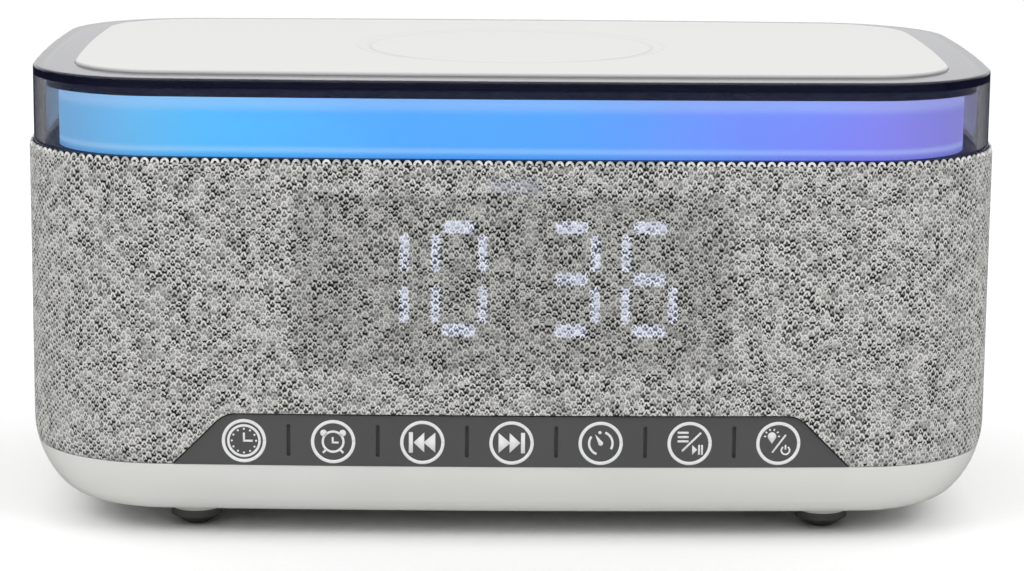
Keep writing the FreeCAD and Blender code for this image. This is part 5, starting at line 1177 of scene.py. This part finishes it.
class CLOCK_OT_keys(bpy.types.Operator):
    """Finish the key strip and its seven keys, and print their rings and icons"""

    bl_idname = "clock.keys"
    bl_label = "Keys and icons"

    def execute(self, context):
        strip = chosen("finish").strip
        smooth = {"roughness": 0.42, "grain": 3200.0, "depth": 0.008 * MM}
        dress(moulded("strip_plastic", strip, **smooth), "key_strip")
        dress(moulded("key_plastic", strip, **smooth), *(f"{key}_key" for key in KEY_NAMES))
        plungers = moulded("plunger_plastic", linear(30, 30, 30), roughness=0.5, grain=1500.0)
        dress(plungers, *(f"{key}_key_plunger" for key in KEY_NAMES))
        dress(metal("switch_steel", linear(176, 176, 178), roughness=0.35), "switch_bodies")
        dress(circuit("key_lacquer", linear(24, 66, 44)), "key_board")
        print_icons()
        return {"FINISHED"}


class CLOCK_OT_display(bpy.types.Operator):
    """Finish the display behind the knit"""

    bl_idname = "clock.display"
    bl_label = "Display"

    def execute(self, context):
        dress(polished("window_plastic", linear(30, 30, 32), roughness=0.2), "display_window")
        dress(moulded("digit_resin", linear(215, 216, 218), roughness=0.4, grain=900.0), "digit_block")
        dress(circuit("display_lacquer", linear(24, 66, 44)), "display_board")
        dress(ribbon_film("ribbon_film"), "display_ribbon")
        return {"FINISHED"}


class CLOCK_OT_boards(bpy.types.Operator):
    """Finish the main board, its parts, the backup cell and the speaker leads"""

    bl_idname = "clock.boards"
    bl_label = "Boards"

    def execute(self, context):
        dress(circuit("main_lacquer", linear(26, 74, 46)), "main_board")
        dress(moulded("chip_resin", linear(40, 40, 42), grain=1400.0), "main_board_parts")
        dress(metal("cell_steel", linear(200, 200, 200), roughness=0.25), "backup_cell")
        dress(moulded("holder_plastic", linear(34, 34, 36), roughness=0.5, grain=1200.0), "cell_holder")
        dress(moulded("lead_plastic", linear(150, 34, 32), roughness=0.5, grain=1800.0), "speaker_leads")
        return {"FINISHED"}


class CLOCK_OT_speakers(bpy.types.Operator):
    """Finish the two speakers"""

    bl_idname = "clock.speakers"
    bl_label = "Speakers"

    def execute(self, context):
        foam = {"roughness": 0.9, "grain": 500.0, "depth": 0.2 * MM, "drift": 0.25}
        paper = {"roughness": 0.85, "grain": 700.0, "depth": 0.1 * MM, "drift": 0.3}
        finishes = {
            "frame": metal("basket_steel", linear(120, 122, 126), roughness=0.4),
            "magnet": metal("magnet_steel", linear(150, 150, 152), roughness=0.3),
            "gasket": moulded("gasket_foam", linear(48, 48, 50), **foam),
            "surround": moulded("surround_rubber", linear(32, 32, 33), roughness=0.55, grain=1600.0),
            "cone": moulded("cone_paper", linear(58, 56, 54), **paper),
        }
        for part, finish in finishes.items():
            dress(finish, *(f"speaker_{part}_{side}" for side in SIDES))
        return {"FINISHED"}


class CLOCK_OT_fasteners(bpy.types.Operator):
    """Finish the screws and make the feet"""

    bl_idname = "clock.fasteners"
    bl_label = "Screws and feet"

    def execute(self, context):
        steel = metal("screw_steel", linear(150, 150, 154), roughness=0.35)
        dress(steel, "base_screws", "board_screws", "speaker_screws", "carrier_screws")
        foot = chosen("finish").foot
        rubber = moulded("foot_rubber", foot, roughness=0.7, grain=1600.0, depth=0.03 * MM, drift=0.12)
        for corner in CORNERS:
            build_foot(corner, rubber)
        return {"FINISHED"}


class CLOCK_OT_studio(bpy.types.Operator):
    """Set up the table, the studio lamps, the surroundings and the camera"""

    bl_idname = "clock.studio"
    bl_label = "Studio"

    def execute(self, context):
        build_table()
        build_lamps()
        build_sky()
        build_camera()
        context.scene.view_settings.view_transform = "Standard"
        return {"FINISHED"}


OPERATORS = (
    CLOCK_OT_sleeve,
    CLOCK_OT_shells,
    CLOCK_OT_cover,
    CLOCK_OT_plate,
    CLOCK_OT_keys,
    CLOCK_OT_display,
    CLOCK_OT_boards,
    CLOCK_OT_speakers,
    CLOCK_OT_fasteners,
    CLOCK_OT_studio,
)


class CLOCK_PT_panel(bpy.types.Panel):
    """Lists the clock's pieces"""

    bl_idname = "CLOCK_PT_panel"
    bl_label = "Talking clock"
    bl_space_type = "VIEW_3D"
    bl_region_type = "UI"
    bl_category = "Clock"

    def draw(self, context):
        for operator in OPERATORS:
            self.layout.operator(operator.bl_idname)
        for name, group in SETTINGS.items():
            column = self.layout.column()
            for key in group.__annotations__:
                column.prop(getattr(context.scene, name), key)


def register():
    for name, group in SETTINGS.items():
        bpy.utils.register_class(group)
        setattr(bpy.types.Scene, name, bpy.props.PointerProperty(type=group))
    for operator in OPERATORS:
        bpy.utils.register_class(operator)
    bpy.utils.register_class(CLOCK_PT_panel)


def unregister():
    bpy.utils.unregister_class(CLOCK_PT_panel)
    for operator in reversed(OPERATORS):
        bpy.utils.unregister_class(operator)
    for name, group in reversed(SETTINGS.items()):
        delattr(bpy.types.Scene, name)
        bpy.utils.unregister_class(group)


def main():
    """Builds everything in order."""
    register()
    for operator in OPERATORS:
        group, name = operator.bl_idname.split(".")
        getattr(getattr(bpy.ops, group), name)()


if __name__ == "__main__":
    main()
